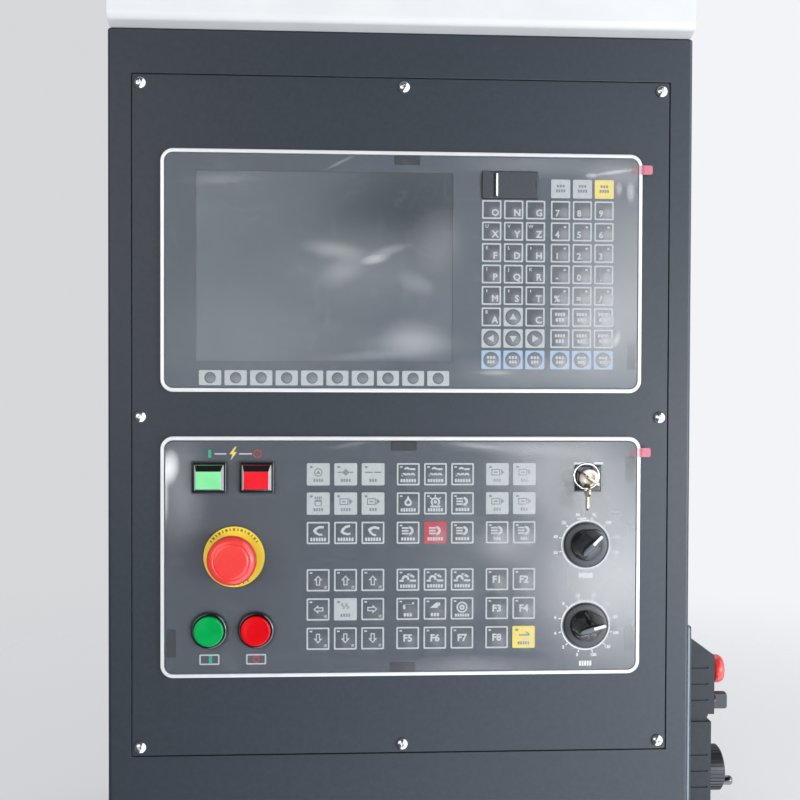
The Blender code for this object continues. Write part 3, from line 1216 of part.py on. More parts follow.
def selector(name, depth, body):
    """Small selector knob with a flatted grip, on a shaft that turns in the body."""
    place = (depth, PENDANT_TOP_Z - SELECTOR_DROP)
    back = PENDANT_FACE + SEAT_GAP
    skirt = back + SELECTOR_SKIRT_HEIGHT
    top = back + SELECTOR_HEIGHT
    shaft_end = PENDANT_FACE - SELECTOR_SHAFT_LENGTH
    knob = turned(name, BLACK, FLANK, place, [
        (0.0, top),
        (SELECTOR_RADIUS * 0.80, top),
        (SELECTOR_RADIUS, top - SELECTOR_RADIUS * 0.25),
        (SELECTOR_RADIUS, skirt),
        (SELECTOR_SKIRT_RADIUS, skirt),
        (SELECTOR_SKIRT_RADIUS, back),
        (SELECTOR_SHAFT_RADIUS, back),
        (SELECTOR_SHAFT_RADIUS, shaft_end),
        (0.0, shaft_end),
    ], steps=16)
    flat = (SELECTOR_RADIUS, SELECTOR_RADIUS * 3)
    for side, sign in (("left", -1), ("right", 1)):
        spot = (depth + sign * SELECTOR_RADIUS * 1.05, place[1])
        cut(knob, slab(f"{name}_{side}_flat", None, FLANK, spot, flat, skirt + SELECTOR_HEIGHT * 0.2,
                       top + CUT_SLACK))
    cut(body, rod(name + "_bore", None, FLANK, place, SELECTOR_SHAFT_RADIUS + RUN_GAP,
                  shaft_end - SEAT_GAP, PENDANT_FACE + CUT_SLACK))


def handwheel(body):
    """Grey dial, knurled wheel on the encoder shaft, and a spinning crank knob on its pin."""
    place = (PENDANT_MIDDLE, PENDANT_TOP_Z - WHEEL_DROP)
    dial_back = PENDANT_LOWER_FACE + SEAT_GAP
    dial_front = dial_back + DIAL_THICKNESS
    turned("pendant_dial", DIAL_GREY, FLANK, place, [
        (DIAL_RADIUS * 0.95, dial_front),
        (DIAL_RADIUS, dial_front - DIAL_THICKNESS * 0.4),
        (DIAL_RADIUS, dial_back),
        (DIAL_BORE, dial_back),
        (DIAL_BORE, dial_front),
    ], steps=28, ring=True)

    back = dial_front + SEAT_GAP
    front = back + WHEEL_THICKNESS
    form = bmesh.new()
    bmesh.ops.create_circle(form, cap_ends=True, segments=2 * WHEEL_KNURLS, radius=WHEEL_RADIUS)
    form.verts.ensure_lookup_table()
    for vert in list(form.verts)[::2]:
        vert.co *= 1.0 - WHEEL_KNURL_DEPTH / WHEEL_RADIUS
    bmesh.ops.translate(form, vec=(0.0, 0.0, back), verts=form.verts)
    base = list(form.faces)
    side = bmesh.ops.extrude_face_region(form, geom=base)["geom"]
    upper = [item for item in side if isinstance(item, bmesh.types.BMVert)]
    bmesh.ops.translate(form, vec=(0.0, 0.0, WHEEL_THICKNESS - WHEEL_EDGE), verts=upper)
    face = [item for item in side if isinstance(item, bmesh.types.BMFace)]
    crown = bmesh.ops.extrude_face_region(form, geom=face)["geom"]
    bmesh.ops.delete(form, geom=face, context="FACES_ONLY")
    rim = [item for item in crown if isinstance(item, bmesh.types.BMVert)]
    narrow = 1.0 - WHEEL_EDGE / WHEEL_RADIUS
    bmesh.ops.scale(form, vec=(narrow, narrow, 1.0), verts=rim)
    bmesh.ops.translate(form, vec=(0.0, 0.0, WHEEL_EDGE), verts=rim)
    bmesh.ops.recalc_face_normals(form, faces=form.faces)
    mesh = bpy.data.meshes.new("handwheel")
    form.to_mesh(mesh)
    form.free()
    wheel = add_part("handwheel", mesh, BLACK, FLANK, (place[0], place[1], 0.0))
    shaft_end = PENDANT_LOWER_FACE - WHEEL_SHAFT_LENGTH
    fuse(wheel, rod("wheel_shaft", None, FLANK, place, WHEEL_SHAFT_RADIUS, shaft_end,
                    back + WHEEL_THICKNESS / 2))
    crank = (place[0], place[1] - CRANK_OFFSET)
    pin_top = front + CRANK_PIN_LENGTH
    fuse(wheel, rod("crank_pin", None, FLANK, crank, CRANK_PIN_RADIUS, front - WHEEL_THICKNESS / 2, pin_top))
    cut(body, rod("shaft_bore", None, FLANK, place, WHEEL_SHAFT_RADIUS + RUN_GAP, shaft_end - SEAT_GAP,
                  PENDANT_LOWER_FACE + CUT_SLACK))

    crank_back = front + SEAT_GAP
    crank_top = crank_back + CRANK_HEIGHT
    bore = CRANK_PIN_RADIUS + RUN_GAP
    turned("crank_knob", BLACK, FLANK, crank, [
        (0.0, crank_top),
        (CRANK_RADIUS * 0.75, crank_top - CRANK_HEIGHT * 0.04),
        (CRANK_RADIUS, crank_top - CRANK_HEIGHT * 0.16),
        (CRANK_RADIUS * 0.78, crank_back),
        (bore, crank_back),
        (bore, pin_top + SEAT_GAP),
        (0.0, pin_top + SEAT_GAP),
    ], steps=16)


def pendant_gland(body):
    """Cable gland under the pendant; its bore opens downwards, where the cable would enter."""
    foot = PENDANT_TOP_Z - PENDANT_HEIGHT
    inner = GLAND_THREAD - SEAT_GAP
    bore_end = GLAND_BORE_DEPTH - GLAND_LENGTH
    gland = turned("pendant_gland", BLACK, PANEL, (SIDE + PENDANT_BACK + GLAND_INSET, foot), [
        (0.0, inner),
        (GLAND_RADIUS, inner),
        (GLAND_RADIUS, -SEAT_GAP),
        (GLAND_NUT_RADIUS, -SEAT_GAP),
        (GLAND_NUT_RADIUS, -SEAT_GAP - GLAND_NUT_HEIGHT),
        (GLAND_RADIUS, -GLAND_LENGTH),
        (GLAND_BORE_RADIUS, -GLAND_LENGTH),
        (GLAND_BORE_RADIUS, bore_end),
        (0.0, bore_end),
    ], steps=16)
    gland.location.z = -PENDANT_MIDDLE
    gland.rotation_euler = (-math.pi / 2, 0.0, 0.0)
    socket = rod("gland_socket", None, PANEL, (SIDE + PENDANT_BACK + GLAND_INSET, foot),
                 GLAND_RADIUS + RUN_GAP, -CUT_SLACK, GLAND_THREAD, steps=16)
    socket.location.z = -PENDANT_MIDDLE
    socket.rotation_euler = (-math.pi / 2, 0.0, 0.0)
    cut(body, socket)


clear_scene()
PARTS = new_collection("control_station")
TOOLS = new_collection("cutters")

CHARCOAL = material("charcoal_powder_coat", (0.050, 0.060, 0.070), 0.55)
PALE = material("pale_enamel", (0.86, 0.87, 0.88), 0.40)
BRIGHT = material("bright_metal", (0.82, 0.83, 0.84), 0.25, 1.0)
STEEL = material("zinc_steel", (0.55, 0.57, 0.58), 0.35, 0.9)
GRAPHITE = material("graphite_overlay", (0.095, 0.105, 0.120), 0.45)
SCREEN = material("screen_glass", (0.10, 0.115, 0.125), 0.12)
CLEAR = material("hazy_film", (0.75, 0.78, 0.80), 0.30)
TAB_RED = material("tab_red", (0.75, 0.20, 0.22), 0.45)
BLACK = material("black_plastic", (0.020, 0.020, 0.022), 0.30)
YELLOW = material("warning_yellow", (0.90, 0.62, 0.06), 0.40)
STOP_RED = material("stop_red", (0.80, 0.04, 0.03), 0.35)
CAP_GREEN = material("cap_green", (0.00, 0.38, 0.10), 0.30)
CAP_RED = material("cap_red", (0.62, 0.01, 0.02), 0.30)
LENS_GREEN = material("lens_green", (0.30, 0.85, 0.40), 0.20)
LENS_RED = material("lens_red", (0.85, 0.03, 0.04), 0.20)
DIAL_GREY = material("dial_grey", (0.30, 0.31, 0.33), 0.40)

PANEL = face_frame("panel_face", (0.0, -CABINET_DEPTH / 2, UNIT_STRIP_HEIGHT), (math.pi / 2, 0.0, 0.0))
FLANK = face_frame("flank_face", (SIDE, -CABINET_DEPTH / 2, UNIT_STRIP_HEIGHT),
                   (math.pi / 2, 0.0, math.pi / 2))

cabinet()
hood()
front_plate()
display_unit()
operator_unit()
pendant()
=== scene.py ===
"""Looks of a CNC lathe's operator control station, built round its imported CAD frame."""
import math

import bpy
from mathutils import Matrix, Vector


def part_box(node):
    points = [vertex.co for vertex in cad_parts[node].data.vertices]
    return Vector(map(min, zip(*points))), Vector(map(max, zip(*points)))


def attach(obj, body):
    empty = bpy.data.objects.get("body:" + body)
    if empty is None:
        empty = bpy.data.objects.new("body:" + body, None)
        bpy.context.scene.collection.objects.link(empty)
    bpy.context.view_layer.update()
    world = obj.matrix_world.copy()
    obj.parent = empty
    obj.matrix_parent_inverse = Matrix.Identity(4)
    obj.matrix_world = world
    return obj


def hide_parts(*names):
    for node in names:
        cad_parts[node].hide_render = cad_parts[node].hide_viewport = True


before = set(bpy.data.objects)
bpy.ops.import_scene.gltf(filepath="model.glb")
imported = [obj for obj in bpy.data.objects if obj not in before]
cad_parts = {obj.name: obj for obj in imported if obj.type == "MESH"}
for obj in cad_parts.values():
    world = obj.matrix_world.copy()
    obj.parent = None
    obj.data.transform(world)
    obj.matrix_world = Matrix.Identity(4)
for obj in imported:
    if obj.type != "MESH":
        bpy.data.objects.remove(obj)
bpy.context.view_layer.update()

# Camera: stands at chest height just left of the console's middle and looks slightly to
# its right and down, as the photograph does. A 47.6 mm lens on a 36 mm square picture.
camera = bpy.data.objects.new("camera", bpy.data.cameras.new("camera"))
bpy.context.scene.collection.objects.link(camera)
bpy.context.scene.camera = camera
camera.data.lens = 47.57
camera.data.sensor_width = 36.0
ahead = Vector((0.05148, 1.0, -0.01642)).normalized()
level = ahead.cross(Vector((0.0, 0.0, 1.0))).normalized()
upright = level.cross(ahead)
tilt = 0.0034
right = level * math.cos(tilt) + upright * math.sin(tilt)
above = upright * math.cos(tilt) - level * math.sin(tilt)
camera.matrix_world = Matrix.Translation((-0.0478, -0.9668, 0.4014)) @ Matrix(
    (right, above, -ahead)).transposed().to_4x4()

# Cabinet: a folded sheet-steel box, 485 x 180 x 690 mm, with 3 mm bends and a joggled
# seat for the front plate. Powder coated in charcoal with a fine leather-like texture.
MM = 0.001


def linear(code):
    """A colour written as sRGB hex, as linear RGBA."""
    parts = [int(code[i:i + 2], 16) / 255 for i in (0, 2, 4)]
    return [c / 12.92 if c <= 0.04045 else ((c + 0.055) / 1.055) ** 2.4 for c in parts] + [1.0]


def add(tree, kind, settings, inputs):
    """Adds a shader node with its settings; an input is a value or another node's socket."""
    made = tree.nodes.new("ShaderNode" + kind)
    for name, value in settings.items():
        setattr(made, name, value)
    for name, value in inputs.items():
        if isinstance(value, bpy.types.NodeSocket):
            tree.links.new(value, made.inputs[name])
        else:
            made.inputs[name].default_value = value
    return made


def surface(name, dark, light="", patches=0.0, bumps=0.0, depth=0.0, **sockets):
    """A Principled material. Its colour wanders between two tones, `patches` to a metre, and its
    grain has `bumps` to a metre, each `depth` metres high. The rest are plain socket values."""
    made = bpy.data.materials.new(name)
    made.use_nodes = True
    tree, shader, place = insides(made)
    shader.inputs["Base Color"].default_value = linear(dark)
    for socket, value in sockets.items():
        shader.inputs[socket.replace("_", " ")].default_value = value
    if light:
        noise = add(tree, "TexNoise", {}, {"Vector": place, "Scale": patches, "Detail": 3.0})
        ramp = add(tree, "ValToRGB", {}, {"Fac": noise.outputs["Fac"]})
        for stop, position, tone in zip(ramp.color_ramp.elements, (0.25, 0.75), (dark, light)):
            stop.position = position
            stop.color = linear(tone)
        tree.links.new(ramp.outputs["Color"], shader.inputs["Base Color"])
    if bumps:
        noise = add(tree, "TexNoise", {}, {"Vector": place, "Scale": bumps, "Detail": 2.0})
        bump = add(tree, "Bump", {}, {"Height": noise.outputs["Fac"], "Distance": depth, "Strength": 1.0})
        tree.links.new(bump.outputs["Normal"], shader.inputs["Normal"])
    return made


def insides(material):
    """A material's node tree, its shader and a socket with places on the object."""
    tree = material.node_tree
    return tree, tree.nodes["Principled BSDF"], add(tree, "TexCoord", {}, {}).outputs["Object"]


def alone(piece):
    """Makes a piece the only selected and the active one."""
    bpy.ops.object.select_all(action="DESELECT")
    piece.select_set(True)
    bpy.context.view_layer.objects.active = piece


def block(name, low, high):
    """A box between two corners."""
    bpy.ops.object.select_all(action="DESELECT")
    middle = [(a + b) / 2 for a, b in zip(low, high)]
    bpy.ops.mesh.primitive_cube_add(size=1.0, location=middle, scale=[b - a for a, b in zip(low, high)])
    bpy.ops.object.transform_apply(location=True, rotation=True, scale=True)
    bpy.context.object.name = name
    return bpy.context.object


def pick(piece, kind, test):
    """Leaves a piece in edit mode with only those points, edges or faces selected that pass the
    test, which is given a point's or a face's place, or the places of an edge's two ends."""
    alone(piece)
    bpy.ops.object.mode_set(mode="EDIT")
    bpy.ops.mesh.select_mode(type=kind)
    bpy.ops.mesh.select_all(action="DESELECT")
    bpy.ops.object.mode_set(mode="OBJECT")
    mesh = piece.data
    for point in mesh.vertices if kind == "VERT" else ():
        point.select = test(point.co)
    for edge in mesh.edges if kind == "EDGE" else ():
        edge.select = test(*(mesh.vertices[i].co for i in edge.vertices))
    for facet in mesh.polygons if kind == "FACE" else ():
        facet.select = test(facet.center)
    bpy.ops.object.mode_set(mode="EDIT")


def bevel(piece, width, steps, test):
    """Rounds the edges whose two ends pass the test."""
    pick(piece, "EDGE", test)
    bpy.ops.mesh.bevel(offset=width, segments=steps, affect="EDGES")
    bpy.ops.object.mode_set(mode="OBJECT")


def along(axis):
    """A test for edges that run along an axis."""
    return lambda a, b: (a - b).length - abs(a[axis] - b[axis]) < 1e-6


def change(piece, kind, **settings):
    """Adds a modifier to a piece and applies it."""
    alone(piece)
    made = piece.modifiers.new(kind, kind)
    for name, value in settings.items():
        setattr(made, name, value)
    bpy.ops.object.modifier_apply(modifier=made.name)


def cut(piece, tool):
    """Takes one shape away from a piece."""
    change(piece, "BOOLEAN", object=tool, operation="DIFFERENCE")
    bpy.data.objects.remove(tool)


def place_on(piece, body, material, slot, *nodes):
    """Gives a finished piece its material and body, and hides the CAD nodes that it stands for. The slot is
    not used.
    """
    piece.data.materials.clear()
    piece.data.materials.append(material)
    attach(piece, body)
    if nodes:
        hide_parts(*nodes)


def smooth(piece, degrees):
    """Shades a piece smooth where its faces meet at less than an angle."""
    alone(piece)
    bpy.ops.object.shade_smooth_by_angle(angle=math.radians(degrees))


def soften(piece, width, steps=2):
    """Rounds every sharp edge a little, and shades the piece smooth with its flat faces flat."""
    change(piece, "BEVEL", width=width, segments=steps, limit_method="ANGLE", angle_limit=math.radians(40))
    smooth(piece, 35)
    change(piece, "WEIGHTED_NORMAL", keep_sharp=True, weight=100)


X, Y, Z = 0, 1, 2

coat = surface("charcoal_powder_coat", "1e252c", "252c34", 260.0, 1500.0, 0.00010, Roughness=0.44)
low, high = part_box("cabinet_shell")
plate_low, plate_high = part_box("panel_plate")
face = plate_low.y
seam = 1.0 * MM
cabinet = block("cabinet", low, high)
bevel(cabinet, 3.0 * MM, 6, along(Z))
bevel(cabinet, 1.5 * MM, 3, lambda a, b: abs(a.z - b.z) < 1e-6 and (a.z > high.z - 1e-6 or a.z < 1e-6))
wall = 2.5 * MM
cut(cabinet, block("hollow", (low.x + wall, low.y + 5 * MM, wall),
                   (high.x - wall, high.y - 3 * wall, high.z - wall)))
cut(cabinet, block("seat", (plate_low.x - seam, face - 5 * MM, plate_low.z - seam),
                   (plate_high.x + seam, face + 2.3 * MM, plate_high.z + seam)))
ledge = 18 * MM
cut(cabinet, block("window", (plate_low.x + ledge, face - 5 * MM, plate_low.z + ledge),
                   (plate_high.x - ledge, face + 12 * MM, plate_high.z - ledge)))
back_low, back_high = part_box("rear_cover")
lap = 13 * MM
cut(cabinet, block("doorway", (back_low.x + lap, high.y - 20 * MM, back_low.z + lap),
                   (back_high.x - lap, high.y + 5 * MM, back_high.z - lap)))
soften(cabinet, 0.4 * MM)
place_on(cabinet, "console", coat, "charcoal", "cabinet_shell")

# Front plate and rear cover: 2 mm and 1.5 mm sheet in the same powder coat, with sheared
# and slightly rounded edges. The plate lies flush in the joggled seat with a 1 mm seam.
def tile(name, low, high, corner=0.0, steps=6):
    """A plate parallel to the console's front, with round corners."""
    made = block(name, low, high)
    if corner:
        bevel(made, corner, steps, along(Y))
    return made


unit_low, unit_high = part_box("display_frame")
lower_low, lower_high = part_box("operator_frame")
strip = (unit_low.z + lower_high.z) / 2
plate = tile("front_plate", plate_low, plate_high, 1.5 * MM, 3)
for low, high in ((unit_low, unit_high), (lower_low, lower_high)):
    cut(plate, block("opening", (low.x + 7 * MM, face - 9 * MM, low.z + 7 * MM),
                     (high.x - 7 * MM, face + 9 * MM, high.z - 7 * MM)))
soften(plate, 0.3 * MM)
place_on(plate, "console", coat, "charcoal", "panel_plate")

cover = tile("back_cover", back_low, (back_high.x, back_low.y + 7.5 * MM, back_high.z), 4 * MM, 4)
left, right = back_low.x - MM, back_high.x + MM
foot, top = back_low.z - MM, back_high.z + MM
fold = lap + 2 * MM
for west, east, low_z, high_z in ((left, right, top - fold, top), (left, right, foot, foot + fold),
                                  (left, left + fold, foot, top), (right - fold, right, foot, top)):
    cut(cover, block("rebate", (west, back_low.y - MM, low_z), (east, back_high.y - 1.5 * MM, high_z)))
soften(cover, 0.4 * MM)
place_on(cover, "console", coat, "charcoal", "rear_cover")

# Hood: pale enamelled sheet that overhangs the cabinet's front by 14 mm. Its soffit rises
# to a rolled front lip, and the top front edge is rounded.
enamel = surface("pale_satin_enamel", "eaecee", "f2f4f5", 25.0, 900.0, 0.00002, Roughness=0.34)

low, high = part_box("top_hood")
hood = block("hood", low, high)
alone(hood)
bpy.ops.object.mode_set(mode="EDIT")
bpy.ops.mesh.select_all(action="SELECT")
bpy.ops.mesh.bisect(plane_co=(0, face, 0), plane_no=(0, 1, 0))
bpy.ops.object.mode_set(mode="OBJECT")
pick(hood, "VERT", lambda p: p.y < low.y + MM and p.z < low.z + MM)
bpy.ops.transform.translate(value=(0, 0, 4 * MM))
bpy.ops.object.mode_set(mode="OBJECT")
bevel(hood, 8 * MM, 8, lambda a, b: a.y + b.y < 2 * low.y + MM and a.z + b.z > 2 * high.z - MM)
bevel(hood, 5 * MM, 6, lambda a, b: a.y + b.y < 2 * low.y + MM and abs(a.z + b.z - 2 * low.z - 8 * MM) < MM)
cut(hood, block("hollow", (low.x + 2 * MM, face + 2 * MM, low.z - 9 * MM),
                (high.x - 2 * MM, high.y - 2 * MM, high.z - 2 * MM)))
soften(hood, 0.8 * MM, 3)
place_on(hood, "console", enamel, "pale_enamel", "top_hood")

# Panel screws: eight nickel-plated button heads, 10 mm across, with a cross recess, which
# hold the front plate to the cabinet's ledge.
def turn(name, centre, axis, profile, steps=48):
    """Spins a profile of (radius, height) in millimetres about an axis through a centre."""
    bpy.ops.object.select_all(action="DESELECT")
    axis = Vector(axis)
    side = Vector((1, 0, 0)) if abs(axis.x) < 0.5 else Vector((0, 0, 1))
    points = [Vector(centre) + side * r * MM + axis * h * MM for r, h in profile]
    bpy.ops.mesh.primitive_plane_add(size=MM, location=(0, 0, 0))
    made = bpy.context.object
    made.name = name
    bpy.ops.object.mode_set(mode="EDIT")
    bpy.ops.mesh.select_mode(type="VERT")
    bpy.ops.mesh.select_all(action="SELECT")
    bpy.ops.mesh.merge(type="CENTER")
    bpy.ops.transform.translate(value=points[0])
    for last, point in zip(points, points[1:]):
        bpy.ops.mesh.extrude_region_move(TRANSFORM_OT_translate={"value": point - last})
    bpy.ops.mesh.select_all(action="SELECT")
    bpy.ops.mesh.spin(steps=steps, angle=math.tau, center=centre, axis=axis)
    bpy.ops.mesh.select_all(action="SELECT")
    bpy.ops.mesh.remove_doubles(threshold=0.000002)
    bpy.ops.mesh.normals_make_consistent(inside=False)
    bpy.ops.object.mode_set(mode="OBJECT")
    return made


def copy_to(piece, name, offset):
    """A copy with its own mesh, moved by an offset."""
    alone(piece)
    bpy.ops.object.duplicate(linked=False)
    bpy.ops.transform.translate(value=offset)
    bpy.ops.object.transform_apply(location=True, rotation=False, scale=False)
    bpy.context.object.name = name
    return bpy.context.object


OUT = (0, -1, 0)
nickel = surface("nickel_plate", "c4c6c6", "dcdddd", 900.0, Metallic=1.0, Roughness=0.22)
low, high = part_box("panel_screw_1")
centre = Vector(((low.x + high.x) / 2, face, (low.z + high.z) / 2))
screw = turn("plate_screw_1", centre, OUT, [
    (0, 3.2), (1.6, 3.1), (3.0, 2.75), (4.1, 2.1), (4.8, 1.2), (5.1, 0.5), (5.0, 0.3), (2.4, 0.3),
    (2.4, -10.7), (0, -10.7)], 32)
for size in ((0.55, 1.9), (1.9, 0.55)):
    cut(screw, block("recess", centre + Vector((-size[0] * MM, -6 * MM, -size[1] * MM)),
                     centre + Vector((size[0] * MM, -1.7 * MM, size[1] * MM))))
soften(screw, 0.12 * MM)
place_on(screw, "console", nickel, "screw_steel", "panel_screw_1")
for number in range(2, 9):
    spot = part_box(f"panel_screw_{number}")[0] - low
    other = copy_to(screw, f"plate_screw_{number}", spot)
    place_on(other, "console", nickel, "screw_steel", f"panel_screw_{number}")

# Unit rims: the faceplates of both units, 398.5 x 199 mm with 10.5 mm corners. Only their
# 3 mm polished and lacquered edge shows round the keypad overlay.
polished = surface("lacquered_aluminium", "e9ebec", "f4f5f6", 60.0, Metallic=0.15, Roughness=0.30,
                   Coat_Weight=0.6)
for name, low, high in (("display", unit_low, unit_high), ("operator", lower_low, lower_high)):
    rim = tile(name + "_rim", low, high, 10.5 * MM, 10)
    bevel(rim, 1.1 * MM, 4, lambda a, b: max(a.y, b.y) < low.y + 1e-6)
    inner = 3.1 * MM
    cut(rim, tile("pocket", (low.x + inner, low.y - MM, low.z + inner),
                  (high.x - inner, low.y + 1.4 * MM, high.z - inner), 7.4 * MM, 10))
    inner = 9 * MM
    cut(rim, block("opening", (low.x + inner, low.y - MM, low.z + inner),
                   (high.x - inner, high.y + MM, high.z - inner)))
    soften(rim, 0.15 * MM)
    place_on(rim, "console", polished, "bright_aluminium", name + "_frame")

# Keypad overlays: printed polyester membranes, graphite grey with a fine matt grain. Each
# key is a pad that stands 0.4 mm proud with a small rounded edge.
membrane = surface("printed_polyester", "414a53", "475059", 300.0, 1800.0, 0.000002, Roughness=0.42)


def at(x, z, height=0.0):
    """A point on the front: millimetres right of the middle, above the strip, and proud."""
    return Vector((x * MM, face - height * MM, strip + z * MM))


def join(name, pieces):
    """Joins pieces into the first one."""
    bpy.ops.object.select_all(action="DESELECT")
    for piece in pieces:
        piece.select_set(True)
    bpy.context.view_layer.objects.active = pieces[0]
    if len(pieces) > 1:
        bpy.ops.object.join()
    pieces[0].name = name
    return pieces[0]


def on_front(height):
    """A test for edges of the face that stands `height` millimetres proud of the plate."""
    return lambda a, b: max(a.y, b.y) < face - height * MM + 1e-6


def pads(width, tall, places):
    """Raised key pads at places in millimetres, one modelled and the others copied."""
    x, z = places[0]
    first = tile("pad", at(x - width / 2, z - tall / 2, 3.9), at(x + width / 2, z + tall / 2, 3.2), MM, 3)
    bevel(first, 0.25 * MM, 2, on_front(3.9))
    return [first] + [copy_to(first, "pad", ((px - x) * MM, 0, (pz - z) * MM)) for px, pz in places[1:]]


LETTER_KEY, SOFT_KEY, UNIT_KEY = (16.1, 15.5), (18.2, 12.3), (18.9, 18.4)
LETTER_X = [72.7, 91.0, 109.3]
NUMBER_X = [130.2, 148.5, 166.8]
LETTER_Z = [45.7 + 17.76 * row for row in range(9)]
SOFT_X = [-158.7 + 20.83 * count for count in range(10)]
SOFT_Z = 30.0
KEY_X = [-70.1, -47.5, -24.9, 4.2, 26.8, 49.4, 78.5, 101.1]
KEY_Z = [-49.4, -73.6, -97.9, -137.0, -161.2, -185.5]
letter_keys = [(x, z) for z in LETTER_Z[:8] for x in LETTER_X]
number_keys = [(x, z) for z in LETTER_Z for x in NUMBER_X]
low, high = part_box("display_overlay")
sheet = tile("overlay", (low.x, face - 3.5 * MM, low.z), (high.x, face - 2.9 * MM, high.z), 7.1 * MM, 8)
cut(sheet, block("screen_window", at(-170.5, 43.6, 9), at(40.5, 199.6, -9)))
cut(sheet, block("port_window", at(64.3, 178.7, 9), at(111.2, 201.8, -9)))
keypad = join("display_keypad", [sheet] + pads(*LETTER_KEY, letter_keys + number_keys)
              + pads(*SOFT_KEY, [(x, SOFT_Z) for x in SOFT_X]))
soften(keypad, 0.05 * MM, 1)
place_on(keypad, "console", membrane, "graphite_overlay", "display_overlay")

BUTTON_X, BUTTON_Z = (-159.1, -120.9), -177.6
POWER_X, POWER_Z = (-159.1, -120.4), -51.8
STOP, LOCK = (-139.0, -117.2), (154.3, -52.8)
KNOB_X, KNOB_Z = 153.2, (-108.5, -176.1)
low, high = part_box("operator_overlay")
sheet = tile("overlay", (low.x, face - 3.5 * MM, low.z), (high.x, face - 2.9 * MM, high.z), 7.1 * MM, 8)
for x, z, radius in ((BUTTON_X[0], BUTTON_Z, 11.3), (BUTTON_X[1], BUTTON_Z, 11.3), (*STOP, 11.3),
                     (*LOCK, 9.5), (KNOB_X, KNOB_Z[0], 5.0), (KNOB_X, KNOB_Z[1], 5.0)):
    cut(sheet, turn("hole", at(x, z), OUT, [(0, 9), (radius, 9), (radius, -9), (0, -9)], 32))
for x in POWER_X:
    cut(sheet, block("hole", at(x - 11.9, POWER_Z - 10.6, 9), at(x + 11.9, POWER_Z + 10.6, -9)))
keypad = join("operator_keypad", [sheet] + pads(*UNIT_KEY, [(x, z) for z in KEY_Z for x in KEY_X]))
soften(keypad, 0.05 * MM, 1)
darker = surface("dark_printed_polyester", "363d46", "3c434c", 200.0, 1400.0, 0.000002, Roughness=0.42)
place_on(keypad, "console", darker, "graphite_overlay", "operator_overlay")

# Screen: the 10.4 inch panel behind the display unit's window, dark anti-glare glass that
# is switched off, with the overlay's edge standing 0.9 mm above it.
def soft_spot(tree, place, x, z, wide, tall, turned, strength):
    """A soft oval patch on the front: its strength at the middle, 0 outside."""
    moved = add(tree, "Mapping", {"vector_type": "TEXTURE"}, {
        "Vector": place, "Location": at(x, z), "Rotation": (0.0, -math.radians(turned), 0.0),
        "Scale": (wide * MM, 1.0, tall * MM)})
    ball = add(tree, "TexGradient", {"gradient_type": "SPHERICAL"}, {"Vector": moved.outputs[0]})
    soft = add(tree, "MapRange", {"interpolation_type": "SMOOTHSTEP"}, {
        "Value": ball.outputs["Fac"], "To Max": strength})
    return soft.outputs[0]


glass = surface("anti_glare_glass", "59636a", "626c74", 7.0, Roughness=0.28)
tree, shader, place = insides(glass)
patchy = shader.inputs["Base Color"].links[0].from_socket
# The glass is darker in a soft patch near the top middle: a painted darker reflection, mixed into its colour.
shade = soft_spot(tree, place, 12, 172, 125, 88, 12, 1.0)
painted_dark_reflection = add(tree, "Mix", {"data_type": "RGBA"}, {0: shade, 6: patchy, 7: linear("2b353c")})
tree.links.new(painted_dark_reflection.outputs[2], shader.inputs["Base Color"])
low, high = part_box("lcd_panel")
screen = tile("screen", low, high, 0.5 * MM, 2)
soften(screen, 0.2 * MM)
place_on(screen, "console", glass, "screen_glass", "lcd_panel")

# Printed marks: screen-printed inks on the overlays, 0.03 mm thick. Key borders, letters,
# numbers, arrows, plain symbols, and captions as rows of short bars.
def drawn(name, loops, thickness, place):
    """Closed outlines of (x, z) in millimetres, filled; an outline inside another is a hole."""
    curve = bpy.data.curves.new(name, "CURVE")
    curve.dimensions = "2D"
    curve.fill_mode = "BOTH"
    curve.extrude = thickness / 2 * MM
    for loop in loops:
        line = curve.splines.new("POLY")
        line.points.add(len(loop) - 1)
        for point, (x, z) in zip(line.points, loop):
            point.co = (x * MM, z * MM, 0, 1)
        line.use_cyclic_u = True
    made = bpy.data.objects.new(name, curve)
    bpy.context.scene.collection.objects.link(made)
    alone(made)
    made.location = place
    made.rotation_euler = (math.pi / 2, 0, 0)
    bpy.ops.object.convert(target="MESH")
    bpy.ops.object.transform_apply(location=True, rotation=True, scale=True)
    return bpy.context.object


def ink(name, dark, light):
    """A matt screen-printing ink."""
    return surface(name, dark, light, 400.0, Roughness=0.5)


def printed(name, paint, height, loops, lettering=()):
    """A printed mark in one ink, 0.03 mm thick, at a height above the plate."""
    made = join(name, [drawn(name, loops, 0.03, at(0, 0, height)), *lettering])
    place_on(made, "console", paint, "graphite_overlay")


def bar(x, z, width, tall, corner=0.0):
    """A rectangle about a centre, with round corners."""
    if not corner:
        return [(x + a * width / 2, z + b * tall / 2) for a, b in ((-1, -1), (1, -1), (1, 1), (-1, 1))]
    loop = []
    for a, b, start in ((1, 1, 0), (-1, 1, 90), (-1, -1, 180), (1, -1, 270)):
        for step in range(4):
            angle = math.radians(start + 30 * step)
            loop.append((x + a * (width / 2 - corner) + corner * math.cos(angle),
                         z + b * (tall / 2 - corner) + corner * math.sin(angle)))
    return loop


def arc(x, z, inner, outer, start, end, steps=16):
    """A band of a ring between two angles in degrees, or a whole ring as two outlines."""
    turns = [math.radians(start + (end - start) * step / steps) for step in range(steps + 1)]
    far = [(x + outer * math.cos(t), z + outer * math.sin(t)) for t in turns]
    near = [(x + inner * math.cos(t), z + inner * math.sin(t)) for t in turns]
    if end - start >= 360:
        return [far[:-1], near[:-1]] if inner else [far[:-1]]
    return [far + near[::-1]]


def frame_line(x, z, width, tall, line=1.25):
    """A key's printed border."""
    return [bar(x, z, width, tall, 1.0), bar(x, z, width - 2 * line, tall - 2 * line, 0.5)]


